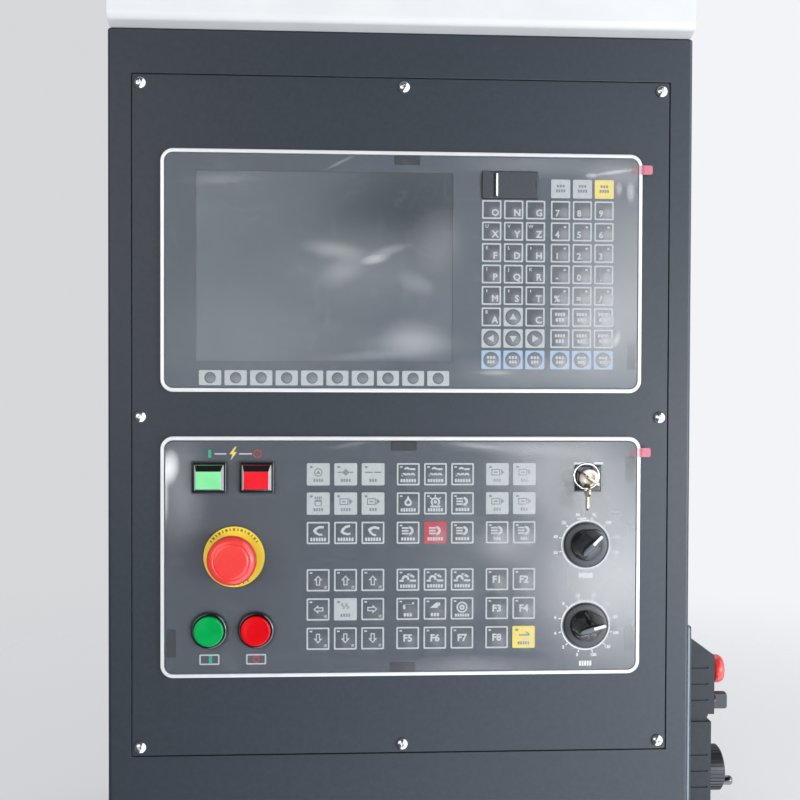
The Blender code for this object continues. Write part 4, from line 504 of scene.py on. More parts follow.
def shape(x, z, turned, points):
    """An outline given about (0, 0), turned by degrees and moved to its place."""
    c, s = math.cos(math.radians(turned)), math.sin(math.radians(turned))
    return [(x + px * c - pz * s, z + px * s + pz * c) for px, pz in points]


def arrow(x, z, turned):
    """The outline of a block arrow that points up before it is turned."""
    outer = [(0, 4.2), (3.6, 0.2), (1.7, 0.2), (1.7, -4.0), (-1.7, -4.0), (-1.7, 0.2), (-3.6, 0.2)]
    inner = [(0, 3.0), (1.7, 1.0), (0.9, 1.0), (0.9, -3.2), (-0.9, -3.2), (-0.9, 1.0), (-1.7, 1.0)]
    return [shape(x, z, turned, outer), shape(x, z, turned, inner)]


def note(x, z):
    """Three short lines beside a half ring."""
    lines = [bar(x - 2.4, z + 1.6 + step, 5.6, 1.3, 0.2) for step in (-2.3, 0, 2.3)]
    return lines + arc(x + 0.9, z + 1.6, 1.7, 3.7, -90, 90, 10)


def caption(x, z, width, tall):
    """A key's caption as a row of small bars."""
    count = max(2, round(width / 2.2))
    step = width / count
    return [bar(x - width / 2 + step * (number + 0.5), z, step * 0.74, tall, 0.25) for number in range(count)]


def words(text, x, z, tall, height, weight=0.0):
    """Lettering with its middle at a place, `tall` millimetres high."""
    bpy.ops.object.select_all(action="DESELECT")
    bpy.ops.object.text_add(location=at(x, z, height), rotation=(math.pi / 2, 0, 0))
    made = bpy.context.object
    made.data.body = text
    made.data.size = tall / 0.69 * MM
    made.data.align_x = "CENTER"
    made.data.align_y = "CENTER"
    made.data.extrude = 0.015 * MM
    made.data.offset = weight * MM
    made.data.resolution_u = 2
    bpy.ops.object.convert(target="MESH")
    bpy.ops.object.transform_apply(location=True, rotation=True, scale=True)
    return bpy.context.object


PAD_INK = 3.92
BASE_INK = 3.94
TOP_INK = 3.97
pale_ink = ink("pale_print", "b8c0c4", "c4cbce")
key_ink = ink("dark_key_print", "343a40", "3b4248")
light_ink = ink("light_print", "b2b8ba", "bcc2c4")
grey_ink = ink("grey_print", "545c62", "5e666c")
dark_ink = ink("dark_print", "6c7478", "787f83")
yellow_ink = ink("yellow_print", "e6d25c", "eeda6a")
light, lettering, dark = [], [], []

# Letter and number keys: a big character low right or left, and a small one in the corner.
letters, numbers, corners = "MSTPQRFDHXYZONG", "%=/-0.123456789", "   IJKEL UVW   "
for row, z in enumerate(LETTER_Z[3:8]):
    for column in range(3):
        x, number = LETTER_X[column], NUMBER_X[column]
        lettering.append(words(letters[row * 3 + column], x + 3.0, z - 2.7, 5.3, TOP_INK, 0.22))
        lettering.append(words(numbers[row * 3 + column], number - 2.6, z - 2.7, 5.1, TOP_INK, 0.22))
        light += frame_line(x, z, *LETTER_KEY) + frame_line(number, z, *LETTER_KEY)
        if corners[row * 3 + column] != " ":
            lettering.append(words(corners[row * 3 + column], x - 3.9, z + 3.9, 2.7, TOP_INK, 0.08))
        elif row < 4:
            light.append(bar(x - 3.8, z + 3.8, 0.9, 2.2, 0.2))
        if row < 4:
            light.append(bar(number + 3.8, z + 3.9, 2.0, 1.6, 0.3))
for x, z, text in ((LETTER_X[0], LETTER_Z[2], "A"), (LETTER_X[2], LETTER_Z[2], "C")):
    lettering.append(words(text, x + 3.0, z - 2.7, 5.3, TOP_INK, 0.22))
    light += frame_line(x, z, *LETTER_KEY)
lettering.append(words("B", LETTER_X[0] - 3.9, LETTER_Z[2] + 3.9, 2.7, TOP_INK, 0.08))
for z in LETTER_Z[1:3]:
    for x in NUMBER_X:
        light += frame_line(x, z, *LETTER_KEY) + caption(x, z + 2.5, 9.0, 2.6) + caption(x, z - 2.1, 7.6, 2.9)
printed("display_marks", pale_ink, TOP_INK, light, lettering)

# Pale keys with dark discs: four arrow keys and the row of soft keys under the screen.
arrows = [(LETTER_X[1], LETTER_Z[2], 0), (LETTER_X[0], LETTER_Z[1], 90),
          (LETTER_X[1], LETTER_Z[1], 180), (LETTER_X[2], LETTER_Z[1], 270)]
lit = [(x, z) for x, z, turned in arrows] + [(x, LETTER_Z[0]) for x in LETTER_X + NUMBER_X]
lit += [(x, LETTER_Z[8]) for x in NUMBER_X]
plain = [bar(x, z, 13.8, 13.2, 0.5) for x, z in letter_keys + number_keys if (x, z) not in lit]
printed("display_dark_keys", key_ink, PAD_INK, plain)

fills = [bar(x, LETTER_Z[8], *LETTER_KEY, 1.0) for x in NUMBER_X[:2]]
for x, z, turned in arrows:
    fills += [bar(x, z, *LETTER_KEY, 1.0)] + arc(x, z, 0, 6.6, 0, 360, 32)
    fills.append(shape(x, z, turned, [(0, 3.1), (3.1, -2.1), (-3.1, -2.1)]))
for x in SOFT_X:
    fills += [bar(x, SOFT_Z, *SOFT_KEY, 1.0)] + arc(x, SOFT_Z, 0, 4.75, 0, 360, 24)
printed("display_light_keys", light_ink, BASE_INK, fills)
discs = []
for x, z, turned in arrows:
    discs += arc(x, z, 0, 5.4, 0, 360, 32)
for x in SOFT_X:
    discs += arc(x, SOFT_Z, 0, 3.7, 0, 360, 24)
for x in LETTER_X + NUMBER_X:
    discs += arc(x, LETTER_Z[0], 0, 5.5, 0, 360, 32)
printed("display_key_discs", grey_ink, PAD_INK, discs)

# The blue row at the foot, the yellow key at the top, and the pale keys' dark captions.
blue = []
for x in LETTER_X + NUMBER_X:
    blue += [bar(x, LETTER_Z[0], *LETTER_KEY, 1.0)] + arc(x, LETTER_Z[0], 0, 6.5, 0, 360, 32)
printed("display_blue_keys", ink("blue_print", "98b6d2", "a4c0da"), BASE_INK, blue)
lines = []
for x in LETTER_X + NUMBER_X:
    lines += caption(x, LETTER_Z[0] + 1.9, 7.6, 2.2) + caption(x, LETTER_Z[0] - 1.8, 6.4, 2.4)
printed("display_blue_marks", pale_ink, TOP_INK, lines)
printed("display_yellow_key", yellow_ink, BASE_INK, [bar(NUMBER_X[2], LETTER_Z[8], *LETTER_KEY, 1.0)])
for x in NUMBER_X:
    dark += caption(x, LETTER_Z[8] + 2.3, 7.0, 2.2) + caption(x, LETTER_Z[8] - 1.6, 8.4, 2.6)
printed("display_dark_marks", dark_ink, TOP_INK, dark)

# Operator unit: eight columns and six rows of keys, of which eleven are pale.
light, dark, lettering, fills, plain = [], [], [], [], []
LIGHT_KEYS = [(0, 0), (1, 0), (2, 0), (6, 0), (7, 0), (0, 1), (1, 1), (2, 1), (6, 1), (7, 1), (1, 4)]
for row, z in enumerate(KEY_Z):
    for column, x in enumerate(KEY_X):
        if (column, row) in LIGHT_KEYS:
            fills.append(bar(x, z, *UNIT_KEY, 1.0))
            dark.append(bar(x - 5.8, z + 6.0, 2.4, 1.8, 0.4))
            dark += caption(x, z - 5.0, 8.6 if column < 2 else 6.6, 2.6)
        elif (column, row) not in ((4, 2), (7, 5)):
            plain.append(bar(x, z, 16.4, 15.9, 0.5))
            light += frame_line(x, z, *UNIT_KEY)
            if row > 2 or column > 2:
                light.append(bar(x - 5.8, z + 6.0, 2.2, 1.2, 0.3))
printed("operator_dark_keys", key_ink, PAD_INK, plain)


def jaw(x, z, turned):
    """A chuck-like hook: a thick C with a tooth, drawn about a point."""
    return [shape(x, z, turned, [
        (4.6, 4.2), (0.6, 4.2), (-2.6, 2.6), (-4.4, 0.2), (-2.6, -2.2), (0.6, -3.8), (3.4, -3.8), (3.4, -2.2),
        (1.2, -2.2), (-0.6, -1.2), (-1.8, 0.2), (-0.4, 1.4), (1.0, 2.2), (4.6, 2.2)])]


# Left block: jaws, feed arrows, and small double lines in the keys' corners.
for x, lean in zip(KEY_X[:3], (0, 14, -14)):
    light += arrow(x, KEY_Z[3] - 0.4, 0) + arrow(x, KEY_Z[5] + 0.2, 180)
    light += jaw(x, KEY_Z[2] + 1.6, lean) + caption(x, KEY_Z[2] - 5.4, 13.6, 2.9)
    for z in KEY_Z[3:]:
        if (x, z) != (KEY_X[1], KEY_Z[4]):
            light += [bar(x + 6.0, z - 5.2, 2.6, 0.8), bar(x + 6.0, z - 6.6, 2.6, 0.8)]
            light.append(bar(x + 5.2, z - 5.9, 0.8, 2.0))
light += arrow(KEY_X[0] + 0.4, KEY_Z[4], 90) + arrow(KEY_X[2] - 0.4, KEY_Z[4], 270)

# Middle block, first row: three humps under a nozzle; fourth row: a spindle with a tool.
for x in KEY_X[3:6]:
    z = KEY_Z[0]
    for count in (-3.6, 0, 3.6):
        light += arc(x + count, z - 1.0, 0.7, 2.1, 0, 180, 8)
    light += arc(x - 1.0, z + 3.4, 1.0, 2.6, 20, 160, 8)
    light += [bar(x + 3.6, z + 4.2, 4.6, 1.5, 0.3), bar(x - 5.0, z - 0.6, 1.4, 2.2)]
    light += caption(x, z - 5.3, 13.4, 2.7) + caption(x, KEY_Z[3] - 5.3, 13.4, 2.7)
    z = KEY_Z[3]
    light += arc(x - 2.0, z + 0.6, 1.3, 3.2, -20, 190, 10) + [bar(x - 5.2, z - 0.9, 3.6, 1.6, 0.3)]
    light += [shape(x + 3.2, z + 3.2, -28, bar(0, 0, 4.6, 1.7, 0.3)), bar(x + 4.2, z - 0.8, 5.2, 1.6, 0.3)]
    light.append(bar(x + 1.0, z + 4.4, 3.0, 1.4, 0.3))

# Second row: a drop and a work lamp.
DROP = [(0, 5.2), (1.4, 2.2), (3.0, 0.2), (3.0, -2.0), (1.8, -3.4), (-1.8, -3.4), (-3.0, -2.0), (-3.0, 0.2),
        (-1.4, 2.2)]
SHINE = [(0, 1.6), (1.5, -0.4), (1.2, -1.8), (-1.2, -1.8), (-1.5, -0.4)]
x, z = KEY_X[3], KEY_Z[1]
light += [shape(x, z + 1.4, 0, DROP), shape(x, z + 1.4, 0, SHINE)]
x = KEY_X[4]
light += arc(x, z + 1.2, 2.4, 3.9, -50, 230, 18) + arc(x, z + 1.2, 0, 1.4, 0, 360, 12)
light.append(bar(x, z - 2.6, 8.4, 1.5, 0.2))
light += [shape(x, z + 1.2, spread, bar(0, 5.0, 1.1, 1.8, 0.2)) for spread in (-50, 0, 50)]
for column, row in ((5, 1), (3, 2), (5, 2), (6, 2), (7, 2)):
    x, z = KEY_X[column], KEY_Z[row]
    light += note(x, z) + caption(x, z - 5.2, 12.0 if column < 6 else 6.0, 2.6)
for x in KEY_X[3:5]:
    light += caption(x, KEY_Z[1] - 5.4, 13.0, 2.7)

# Fifth row: a slide, a door and a chuck.
x, z = KEY_X[3], KEY_Z[4]
light += [bar(x + 0.8, z + 3.0, 9.0, 1.8, 0.3), bar(x - 3.0, z + 1.4, 2.0, 3.4, 0.3)]
light += [bar(x + 4.4, z + 4.6, 1.8, 1.8, 0.3)] + caption(x, z - 5.0, 7.4, 2.8)
x = KEY_X[4]
light.append(shape(x, z, 0, [(-4.2, 0.6), (1.0, 5.0), (4.4, 5.0), (4.4, 2.6), (2.4, 2.2), (2.4, 0.6)]))
light += caption(x, z - 5.0, 7.4, 2.8)
x = KEY_X[5]
light += arc(x, z + 1.0, 3.4, 4.6, 0, 360, 24) + arc(x, z + 1.0, 0.8, 2.2, 0, 360, 14)
light += caption(x, z - 5.6, 12.4, 2.4)
for number, (column, row) in enumerate(((6, 3), (7, 3), (6, 4), (7, 4), (3, 5), (4, 5), (5, 5), (6, 5))):
    lettering.append(words(f"F{number + 1}", KEY_X[column], KEY_Z[row] - 0.4, 5.6, TOP_INK, 0.3))

# Label frames under the round buttons, the line between the power buttons, and both dials.
for x in BUTTON_X:
    light += frame_line(x, -202.0, 16.4, 8.6, 1.1)
for left, right in ((-155.0, -145.4), (-135.0, -124.6)):
    light.append(bar((left + right) / 2, -32.5, right - left, 1.1))
dial_marks, dial_numbers = [], []
SPINDLE_DIAL = {-105: "50", -75: "60", -45: "70", -15: "80", 15: "90", 45: "100", 75: "110", 105: "120"}
FEED_DIAL = {-165: "0", -135: "2", -105: "4", -75: "6", -45: "8", -15: "10", 15: "20", 45: "50", 75: "80",
             105: "100", 135: "120", 165: "150"}
for z, dial in zip(KNOB_Z, (SPINDLE_DIAL, FEED_DIAL)):
    dial_marks += arc(KNOB_X, z, 19.7, 20.9, 0, 360, 64)
    for angle, text in dial.items():
        dial_marks.append(shape(KNOB_X, z, -angle, bar(0, 22.3, 0.9, 2.2)))
        right, up = 26.4 * math.sin(math.radians(angle)), 25.8 * math.cos(math.radians(angle))
        dial_numbers.append(words(text, KNOB_X + right, z + up, 2.5, TOP_INK, 0.14))
dial_marks += caption(KNOB_X, -134.2, 12.0, 4.2) + caption(KNOB_X, -208.0, 11.0, 4.2)
dial_marks += [bar(147.4, -40.4, 9.6, 1.7, 0.3), bar(163.4, -40.4, 8.0, 1.7, 0.3),
               bar(149.6, -86.6, 7.6, 1.5, 0.3), bar(160.2, -86.6, 6.6, 1.5, 0.3)]
printed("dial_marks", ink("white_print", "f2f4f4", "fafafa"), TOP_INK, dial_marks, dial_numbers)
printed("operator_marks", pale_ink, TOP_INK, light, lettering)
printed("operator_light_keys", light_ink, BASE_INK, fills)

# Dark symbols on the pale keys: a ring, a diamond, a broken line, a hand, and a page with
# an arrow on six keys; then two springs, and a lid on the yellow key.
x, z = KEY_X[0], KEY_Z[0] + 1.6
dark += arc(x, z, 2.6, 3.5, 0, 360, 20) + [shape(x, z, 0, [(0, 1.9), (1.7, -1.2), (-1.7, -1.2)])]
x = KEY_X[1]
dark.append(shape(x, z, 0, [(0, 3.0), (3.2, 0), (0, -3.0), (-3.2, 0)]))
dark += [bar(x - 5.0, z, 3.4, 1.1), bar(x + 4.6, z, 2.8, 1.1)]
x = KEY_X[2]
dark += [bar(x - 3.6, z, 6.4, 1.1), bar(x + 3.8, z, 6.2, 1.1)]
x, z = KEY_X[0], KEY_Z[1] + 1.4
dark += [bar(x, z - 0.8, 6.2, 5.4, 1.6), bar(x, z - 1.4, 4.4, 3.0, 1.0)]
dark += [bar(x - 2.4 + 1.6 * count, z + 3.4, 1.1, 2.4, 0.4) for count in range(4)]
for column, row in ((1, 1), (2, 1), (6, 0), (7, 0), (6, 1), (7, 1)):
    x, z = KEY_X[column], KEY_Z[row] + 1.6
    dark += [bar(x - 1.4, z, 7.4, 5.6, 0.5), bar(x - 1.4, z, 5.6, 3.8, 0.2), bar(x - 1.4, z, 3.2, 1.2)]
    dark.append(shape(x + 4.2, z, 0, [(-1.4, 2.8), (1.8, 0), (-1.4, -2.8)]))
x, z = KEY_X[1], KEY_Z[4]
for count in (-2.0, 1.4):
    dark += arc(x + count, z + 3.6, 0.5, 1.5, 80, 280, 8) + arc(x + count, z + 1.6, 0.5, 1.5, -100, 100, 8)
x, z = KEY_X[7], KEY_Z[5]
dark += [bar(x + 0.6, z + 1.6, 9.0, 1.2), shape(x + 3.4, z + 3.2, -35, bar(0, 0, 3.6, 1.2))]
dark += [bar(x - 5.8, z + 6.0, 2.4, 1.8, 0.4)] + caption(x, z - 5.0, 10.4, 2.6)
printed("operator_dark_marks", dark_ink, TOP_INK, dark)
spark = [(1.6, 5.6), (-3.0, -0.6), (-0.4, -0.6), (-2.0, -5.8), (3.2, 1.2), (0.5, 1.2), (3.0, 5.6)]
printed("operator_yellow_marks", yellow_ink, BASE_INK, [
    bar(KEY_X[7], KEY_Z[5], *UNIT_KEY, 1.0), shape(-140.0, -32.2, 0, spark)])
printed("operator_red_marks", ink("red_print", "a81e36", "b22a40"), BASE_INK, [
    bar(KEY_X[4], KEY_Z[2], *UNIT_KEY, 1.0), *arc(-120.0, -32.5, 2.5, 3.6, 0, 360, 20),
    *arc(-120.9, -202.0, 1.8, 2.9, 0, 360, 20)])
printed("operator_green_marks", ink("green_print", "12a070", "1eaa7c"), BASE_INK, [
    bar(-159.0, -32.5, 2.6, 6.4), bar(-158.2, -202.0, 2.6, 6.0)])
x, z = KEY_X[4], KEY_Z[2]
printed("operator_red_key_mark", pale_ink, TOP_INK, note(x, z) + caption(x, z - 5.2, 13.4, 2.7))

# Foam pads: small dark pads of open foam, stuck to the units' edges under the films, which
# they keep off the keys.
foam = surface("grey_foam", "1f2227", "2b2e33", 900.0, 2200.0, 0.00012, Roughness=0.9)
for number, (left, foot, right, top) in enumerate((
        (-10.0, -30, 11.0, -22), (-10.5, -213.5, 10.5, -206), (186.5, -57, 194, -34),
        (186.5, -198, 194, -177), (-194, -200, -186.5, -177), (-8.0, 206, 13.0, 213.2),
        (187.5, 38, 194, 60))):
    pad = tile(f"foam_pad_{number + 1}", at(left, foot, 4.2), at(right, top, 3.6), 0.8 * MM, 3)
    soften(pad, 0.15 * MM)
    place_on(pad, "console", foam, "black_plastic")

# Moulded black parts: ABS and nylon with a light sheen, moulded in a fine-eroded tool, so
# the gloss is broken by a faint orange peel.
black = surface("black_abs", "141516", "1c1e20", 700.0, 1100.0, 0.00004, Roughness=0.34)
port_grey = surface("dark_grey_abs", "363b3e", "404548", 500.0, 1100.0, 0.00003, Roughness=0.4)

# Data port: a moulded housing snapped into the faceplate, with a lid on a pin hinge along
# its left cheek. The lid closes the right two thirds.
low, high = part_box("port_housing")
port = tile("port_housing_shell", (low.x, face - 4.1 * MM, low.z), (high.x, face + 16 * MM, high.z),
            0.6 * MM, 2)
cheek = tile("cheek", (low.x, low.y, low.z), (low.x + 10.6 * MM, face - 3 * MM, high.z), 0.8 * MM, 3)
bevel(cheek, 1.5 * MM, 1, lambda a, b: max(a.y, b.y) < low.y + 1e-6 and a.x + b.x > 2 * low.x + 20 * MM)
ear_low = block("ear", (low.x + 9 * MM, low.y, low.z), (low.x + 13.1 * MM, face - 3 * MM, low.z + 1.6 * MM))
ear_high = copy_to(ear_low, "ear", (0, 0, high.z - low.z - 1.6 * MM))
port = join("port_housing_shell", [port, cheek, ear_low, ear_high])
cut(port, block("well", (low.x + 13.6 * MM, face - 9 * MM, low.z + 4.7 * MM),
                (low.x + 37.6 * MM, face + 7.9 * MM, high.z - 4.7 * MM)))
soften(port, 0.15 * MM)
place_on(port, "console", port_grey, "black_plastic", "port_housing")
low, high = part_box("port_lid")
lid = tile("port_lid_flap", (low.x + 1.1 * MM, face - 5.9 * MM, low.z), (high.x, face - 4.4 * MM, high.z),
           0.6 * MM, 3)
bevel(lid, 0.5 * MM, 3, on_front(5.9))
hinge = Vector((low.x + 1.1 * MM, face - 5.5 * MM, (low.z + high.z) / 2))
half = (high.z - low.z) / 2 / MM - 1.6
pin = turn("port_hinge_pin", hinge, (0, 0, 1), [
    (0, half), (1.0, half), (1.1, half - 0.1), (1.1, 0.1 - half), (1.0, -half), (0, -half)], 20)
cut(lid, block("finger_dip", (high.x - 3.6 * MM, face - 9 * MM, hinge.z - 4 * MM),
               (high.x - 1.4 * MM, face - 5.5 * MM, hinge.z + 4 * MM)))
soften(lid, 0.15 * MM)
place_on(lid, "port_lid", port_grey, "black_plastic", "port_lid")
smooth(pin, 40)
place_on(pin, "port_lid", nickel, "screw_steel")

# Power buttons: black ABS surrounds with a lit polycarbonate lens that tapers to a lowered
# face. The lenses are dyed green and red.
gloss = surface("polished_black_abs", "0e0f10", "141618", 500.0, Roughness=0.12, Coat_Weight=0.8)


def lens_finish(name, dark, light, rough=0.2, shine=0.5):
    """Dyed polycarbonate or ABS with a moulded gloss and faint flow marks."""
    return surface(name, dark, light, 120.0, 600.0, 0.00002, Roughness=rough, Specular_IOR_Level=shine,
                   Coat_Weight=0.6 * shine, Coat_Roughness=0.08)


green_lens = lens_finish("green_polycarbonate", "84ec9e", "96f6ae")
red_lens = lens_finish("red_polycarbonate", "f21424", "fa2032")
edge = surface("pale_lens_side_highlight", "c8cccc", "dcdfde", 300.0, Roughness=0.25)
z = POWER_Z
for name, x, lens, slot in (("power_on", POWER_X[0], green_lens, "lens_green"),
                            ("power_off", POWER_X[1], red_lens, "lens_red")):
    surround = tile(name + "_housing", at(x - 13.8, z - 12.5, 7.6), at(x + 13.8, z + 12.5, 3.8), 1.2 * MM, 4)
    bevel(surround, 0.5 * MM, 3, on_front(7.6))
    cut(surround, tile("well", at(x - 12.3, z - 11.0, 9), at(x + 12.3, z + 11.0, 3), 0.8 * MM, 3))
    soften(surround, 0.12 * MM)
    place_on(surround, "console", gloss, "black_plastic", name + "_surround")
    cap = tile(name + "_lens", at(x - 12.0, z - 10.7, 8.8), at(x + 12.0, z + 10.7, 6.4))
    pick(cap, "FACE", lambda p: p.y < face - 8.8 * MM + 1e-6)
    bpy.ops.mesh.inset(thickness=0.5 * MM, depth=0)
    bpy.ops.mesh.extrude_region_move(TRANSFORM_OT_translate={"value": (0, -4.2 * MM, -1.9 * MM)})
    bpy.ops.transform.resize(value=(20.3 / 23.0, 1, 14.8 / 20.4))
    bpy.ops.object.mode_set(mode="OBJECT")
    soften(cap, 0.35 * MM, 3)
    place_on(cap, name + "_button", lens, slot, name + "_button")
    # The lens's sloped left and right sides take a pale grey and its top and bottom slopes the black gloss:
    # painted highlights on the sides, painted dark reflections above and below.
    cap.data.materials.append(gloss)
    cap.data.materials.append(edge)
    for facet in cap.data.polygons:
        if facet.normal.y > -0.97:
            facet.material_index = 2 if abs(facet.normal.x) > 0.5 else 1

# Round buttons: glossy black bezels with a flush dished cap, green for cycle start and red
# for feed hold, held by a nut behind the plate.
green_cap = lens_finish("green_button_abs", "00a04c", "00b258", 0.22, 0.15)
red_cap = lens_finish("red_button_abs", "d80410", "e80a18", 0.22, 0.15)
for name, x, cap_finish, slot in (("cycle_start", BUTTON_X[0], green_cap, "cap_green"),
                                  ("feed_hold", BUTTON_X[1], red_cap, "cap_red")):
    centre = at(x, BUTTON_Z)
    bezel = turn(name + "_ring", centre, OUT, [
        (12.55, 4.6), (12.55, 7.6), (12.8, 8.0), (13.4, 8.2), (14.1, 8.0), (14.7, 7.2), (14.9, 6.2),
        (14.9, 4.0), (14.7, 3.8), (11.0, 3.8), (11.0, 4.6), (12.55, 4.6)], 64)
    place_on(bezel, "console", gloss, "black_plastic", name + "_bezel")
    smooth(bezel, 50)
    cap = turn(name + "_cap", centre, OUT, [
        (0, 10.9), (6.0, 11.0), (9.6, 11.3), (10.8, 11.5), (11.6, 11.3), (12.1, 10.8), (12.25, 9.9),
        (12.25, 7.9), (6.0, 7.9), (6.0, -8.1), (0, -8.1)], 64)
    place_on(cap, name + "_button", cap_finish, slot, name + "_button")
    smooth(cap, 50)

# Emergency stop: a yellow disc with printed turn marks, a black collar, and a red mushroom
# head with a ring groove. It latches when pushed and is let go by a twist.
yellow = surface("yellow_abs_disc", "ffdc3c", "ffe84c", 200.0, 900.0, 0.00003, Roughness=0.38)
centre = at(*STOP)
disc = turn("stop_disc", centre, OUT, [
    (11.3, 3.8), (24.9, 3.8), (25.0, 3.9), (25.0, 4.6), (24.8, 4.8), (11.3, 4.8), (11.3, 3.8)], 96)
place_on(disc, "console", yellow, "warning_yellow", "estop_disc")
smooth(disc, 40)
marks = []
for angle in list(range(-56, 57, 8)) + list(range(150, 211, 10)):
    marks.append(shape(*STOP, angle, bar(0, 22.6, 1.1 if angle % 16 else 2.0, 2.2, 0.3)))
printed("stop_turn_marks", ink("black_print", "8a7a30", "94843a"), 4.81, marks)

collar = turn("stop_collar", centre, OUT, [
    (6.8, 5.1), (13.9, 5.1), (14.0, 5.3), (12.8, 9.1), (12.5, 9.3), (6.8, 9.3), (6.8, 5.1)], 64)
place_on(collar, "console", black, "black_plastic", "estop_body")
smooth(collar, 40)
zinc = surface("zinc_plated_steel", "a4a8aa", "babec0", 500.0, Metallic=1.0, Roughness=0.35)


def dress(material, *nodes):
    """Gives CAD nodes that keep their own shape a material."""
    for node in nodes:
        for slot in bpy.data.objects[node].material_slots:
            slot.material = material


dress(zinc, "estop_plunger", "pendant_stop_stem", "display_case", "operator_case", "spindle_switch",
      "feed_switch")

red = surface("signal_red_abs", "f23832", "f8443c", 140.0, 700.0, 0.00003, Roughness=0.3,
              Coat_Weight=0.3, Coat_Roughness=0.2)


def mushroom(name, centre, axis, radius, under, tall, socket, depth):
    """A stop's head: domed face with a ring groove, rolled edge and undercut skirt."""
    top = under + tall
    shares = [(0.3, 0.002), (0.6, 0.008), (0.675, 0.016), (0.695, 0.035), (0.71, 0.055), (0.725, 0.04),
              (0.745, 0.03), (0.80, 0.05), (0.86, 0.09), (0.92, 0.16), (0.96, 0.25), (0.99, 0.37),
              (1.0, 0.48), (0.998, 0.6), (0.985, 0.72), (0.965, 0.8), (0.92, 0.86)]
    rim = [(radius * out, top - tall * down) for out, down in shares]
    made = turn(name, centre, axis, [(0, top), *rim, (radius * 0.56, under), (socket, under),
                                     (socket, under + depth), (0, under + depth)], 96)
    smooth(made, 50)
    return made


head = mushroom("stop_mushroom", centre, OUT, 20.0, 16.1, 14.0, 6.8, 10.0)
place_on(head, "estop_head", red, "stop_red", "estop_head")

# Key switch: a cylinder lock in a square black bezel. The key stands in the lock, and a
# split ring through its bow carries the spare key, which hangs edge on.
chrome = surface("nickel_plated_wire", "cfcdc8", "e2e0dc", 400.0, Metallic=1.0, Roughness=0.16)
satin = surface("satin_nickel_cylinder", "d6cdbe", "e4dbcd", 400.0, Metallic=0.55, Roughness=0.32)
x, z = LOCK
centre = at(x, z)
square = tile("lock_bezel", at(x - 10, z - 10, 7.2), at(x + 10, z + 10, 3.8), 0.8 * MM, 3)
bevel(square, 0.5 * MM, 3, on_front(7.2))
cut(square, turn("bore", centre, OUT, [(0, 9), (8.3, 9), (8.3, 1), (0, 1)], 48))
soften(square, 0.1 * MM)
place_on(square, "console", gloss, "black_plastic", "lock_body")
lean = math.radians(36)
barrel = turn("lock_cylinder", centre, OUT, [
    (0, 10.2), (2.0, 10.2), (4.6, 10.3), (5.0, 10.6), (7.2, 10.6), (7.7, 10.4), (8.0, 9.9), (8.0, -12),
    (0, -12)], 64)
slit = block("keyway", at(x - 3.4, z - 1.2, 14), at(x + 3.4, z + 1.2, -0.9))


def swing(piece, centre, axis, angle):
    """Turns a piece about an axis through a centre, positive as a right-hand screw, which the
    operator takes the other way round when it runs without a window."""
    alone(piece)
    bpy.ops.object.mode_set(mode="EDIT")
    bpy.ops.mesh.select_mode(type="VERT")
    bpy.ops.mesh.select_all(action="SELECT")
    bpy.ops.transform.rotate(value=-angle, orient_axis=axis, center_override=centre)
    bpy.ops.object.mode_set(mode="OBJECT")
    return piece


cut(barrel, swing(slit, centre, "Y", lean))
soften(barrel, 0.1 * MM)
place_on(barrel, "key_set", satin, "bright_chrome", "lock_rotor")


def weld(piece):
    """Joins faces that only touch, such as a drawn piece's caps and its sides."""
    alone(piece)
    bpy.ops.object.mode_set(mode="EDIT")
    bpy.ops.mesh.select_all(action="SELECT")
    bpy.ops.mesh.remove_doubles(threshold=0.001 * MM)
    bpy.ops.mesh.dissolve_degenerate(threshold=0.001 * MM)
    bpy.ops.mesh.normals_make_consistent(inside=False)
    bpy.ops.object.mode_set(mode="OBJECT")


def key_outline():
    """A cabinet key's outline in millimetres: bow above zero, toothed blade below."""
    loop = []
    for cx, start in ((4.3, 0), (-4.3, 90)):
        for step in range(7):
            angle = math.radians(start + 15 * step)
            loop.append((cx + 4.7 * math.cos(angle), 5.8 + 4.7 * math.sin(angle)))
    loop += [(-9.0, 2.8), (-6.2, 0.5), (-3.1, 0.0), (-3.1, -8.4), (-2.6, -9.6), (0.0, -11.5), (3.1, -8.4)]
    for count in range(4):
        foot = -8.0 + count * 1.7
        loop += [(3.1, foot), (2.1, foot + 0.6), (3.1, foot + 1.2)]
    return loop + [(3.1, 0.0), (6.2, 0.5), (9.0, 2.8)]


def cut_key(name, place):
    """A key in 1.8 mm sheet, its bow pierced by a slot, standing upright at a place."""
    made = drawn(name, [key_outline(), bar(0, 5.25, 13.0, 4.2, 1.2)], 1.8, place)
    weld(made)
    soften(made, 0.2 * MM)
    return made


brass = surface("worn_plated_key", "9c8a6c", "cfc2a8", 500.0, Metallic=1.0, Roughness=0.25)
key = cut_key("switch_key", centre)
swing(key, centre, "X", math.radians(90))
alone(key)
bpy.ops.transform.translate(value=(0, -10.9 * MM, 0))
bpy.ops.object.transform_apply(location=True)
swing(key, centre, "Y", lean)
place_on(key, "key_set", brass, "bright_chrome", "lock_key")
low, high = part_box("key_ring")
ring_at = (low + high) / 2
bpy.ops.object.select_all(action="DESELECT")
bpy.ops.mesh.primitive_torus_add(location=ring_at, rotation=(math.pi / 2, 0, 0), major_radius=10.3 * MM,
                                 minor_radius=0.8 * MM, major_segments=72, minor_segments=12)
bpy.ops.object.transform_apply(location=True, rotation=True, scale=True)
ring = bpy.context.object
ring.name = "split_ring"
cut(ring, block("wire_end", ring_at + Vector((-1, -0.1, 9)) * MM, ring_at + Vector((6, 0.1, 12)) * MM))
soften(ring, 0.05 * MM, 1)
place_on(ring, "key_set", chrome, "bright_chrome", "key_ring")
low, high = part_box("spare_key")
hang = Vector(((low.x + high.x) / 2, (low.y + high.y) / 2, low.z + 11.5 * MM))
spare = cut_key("spare_key_blank", hang)
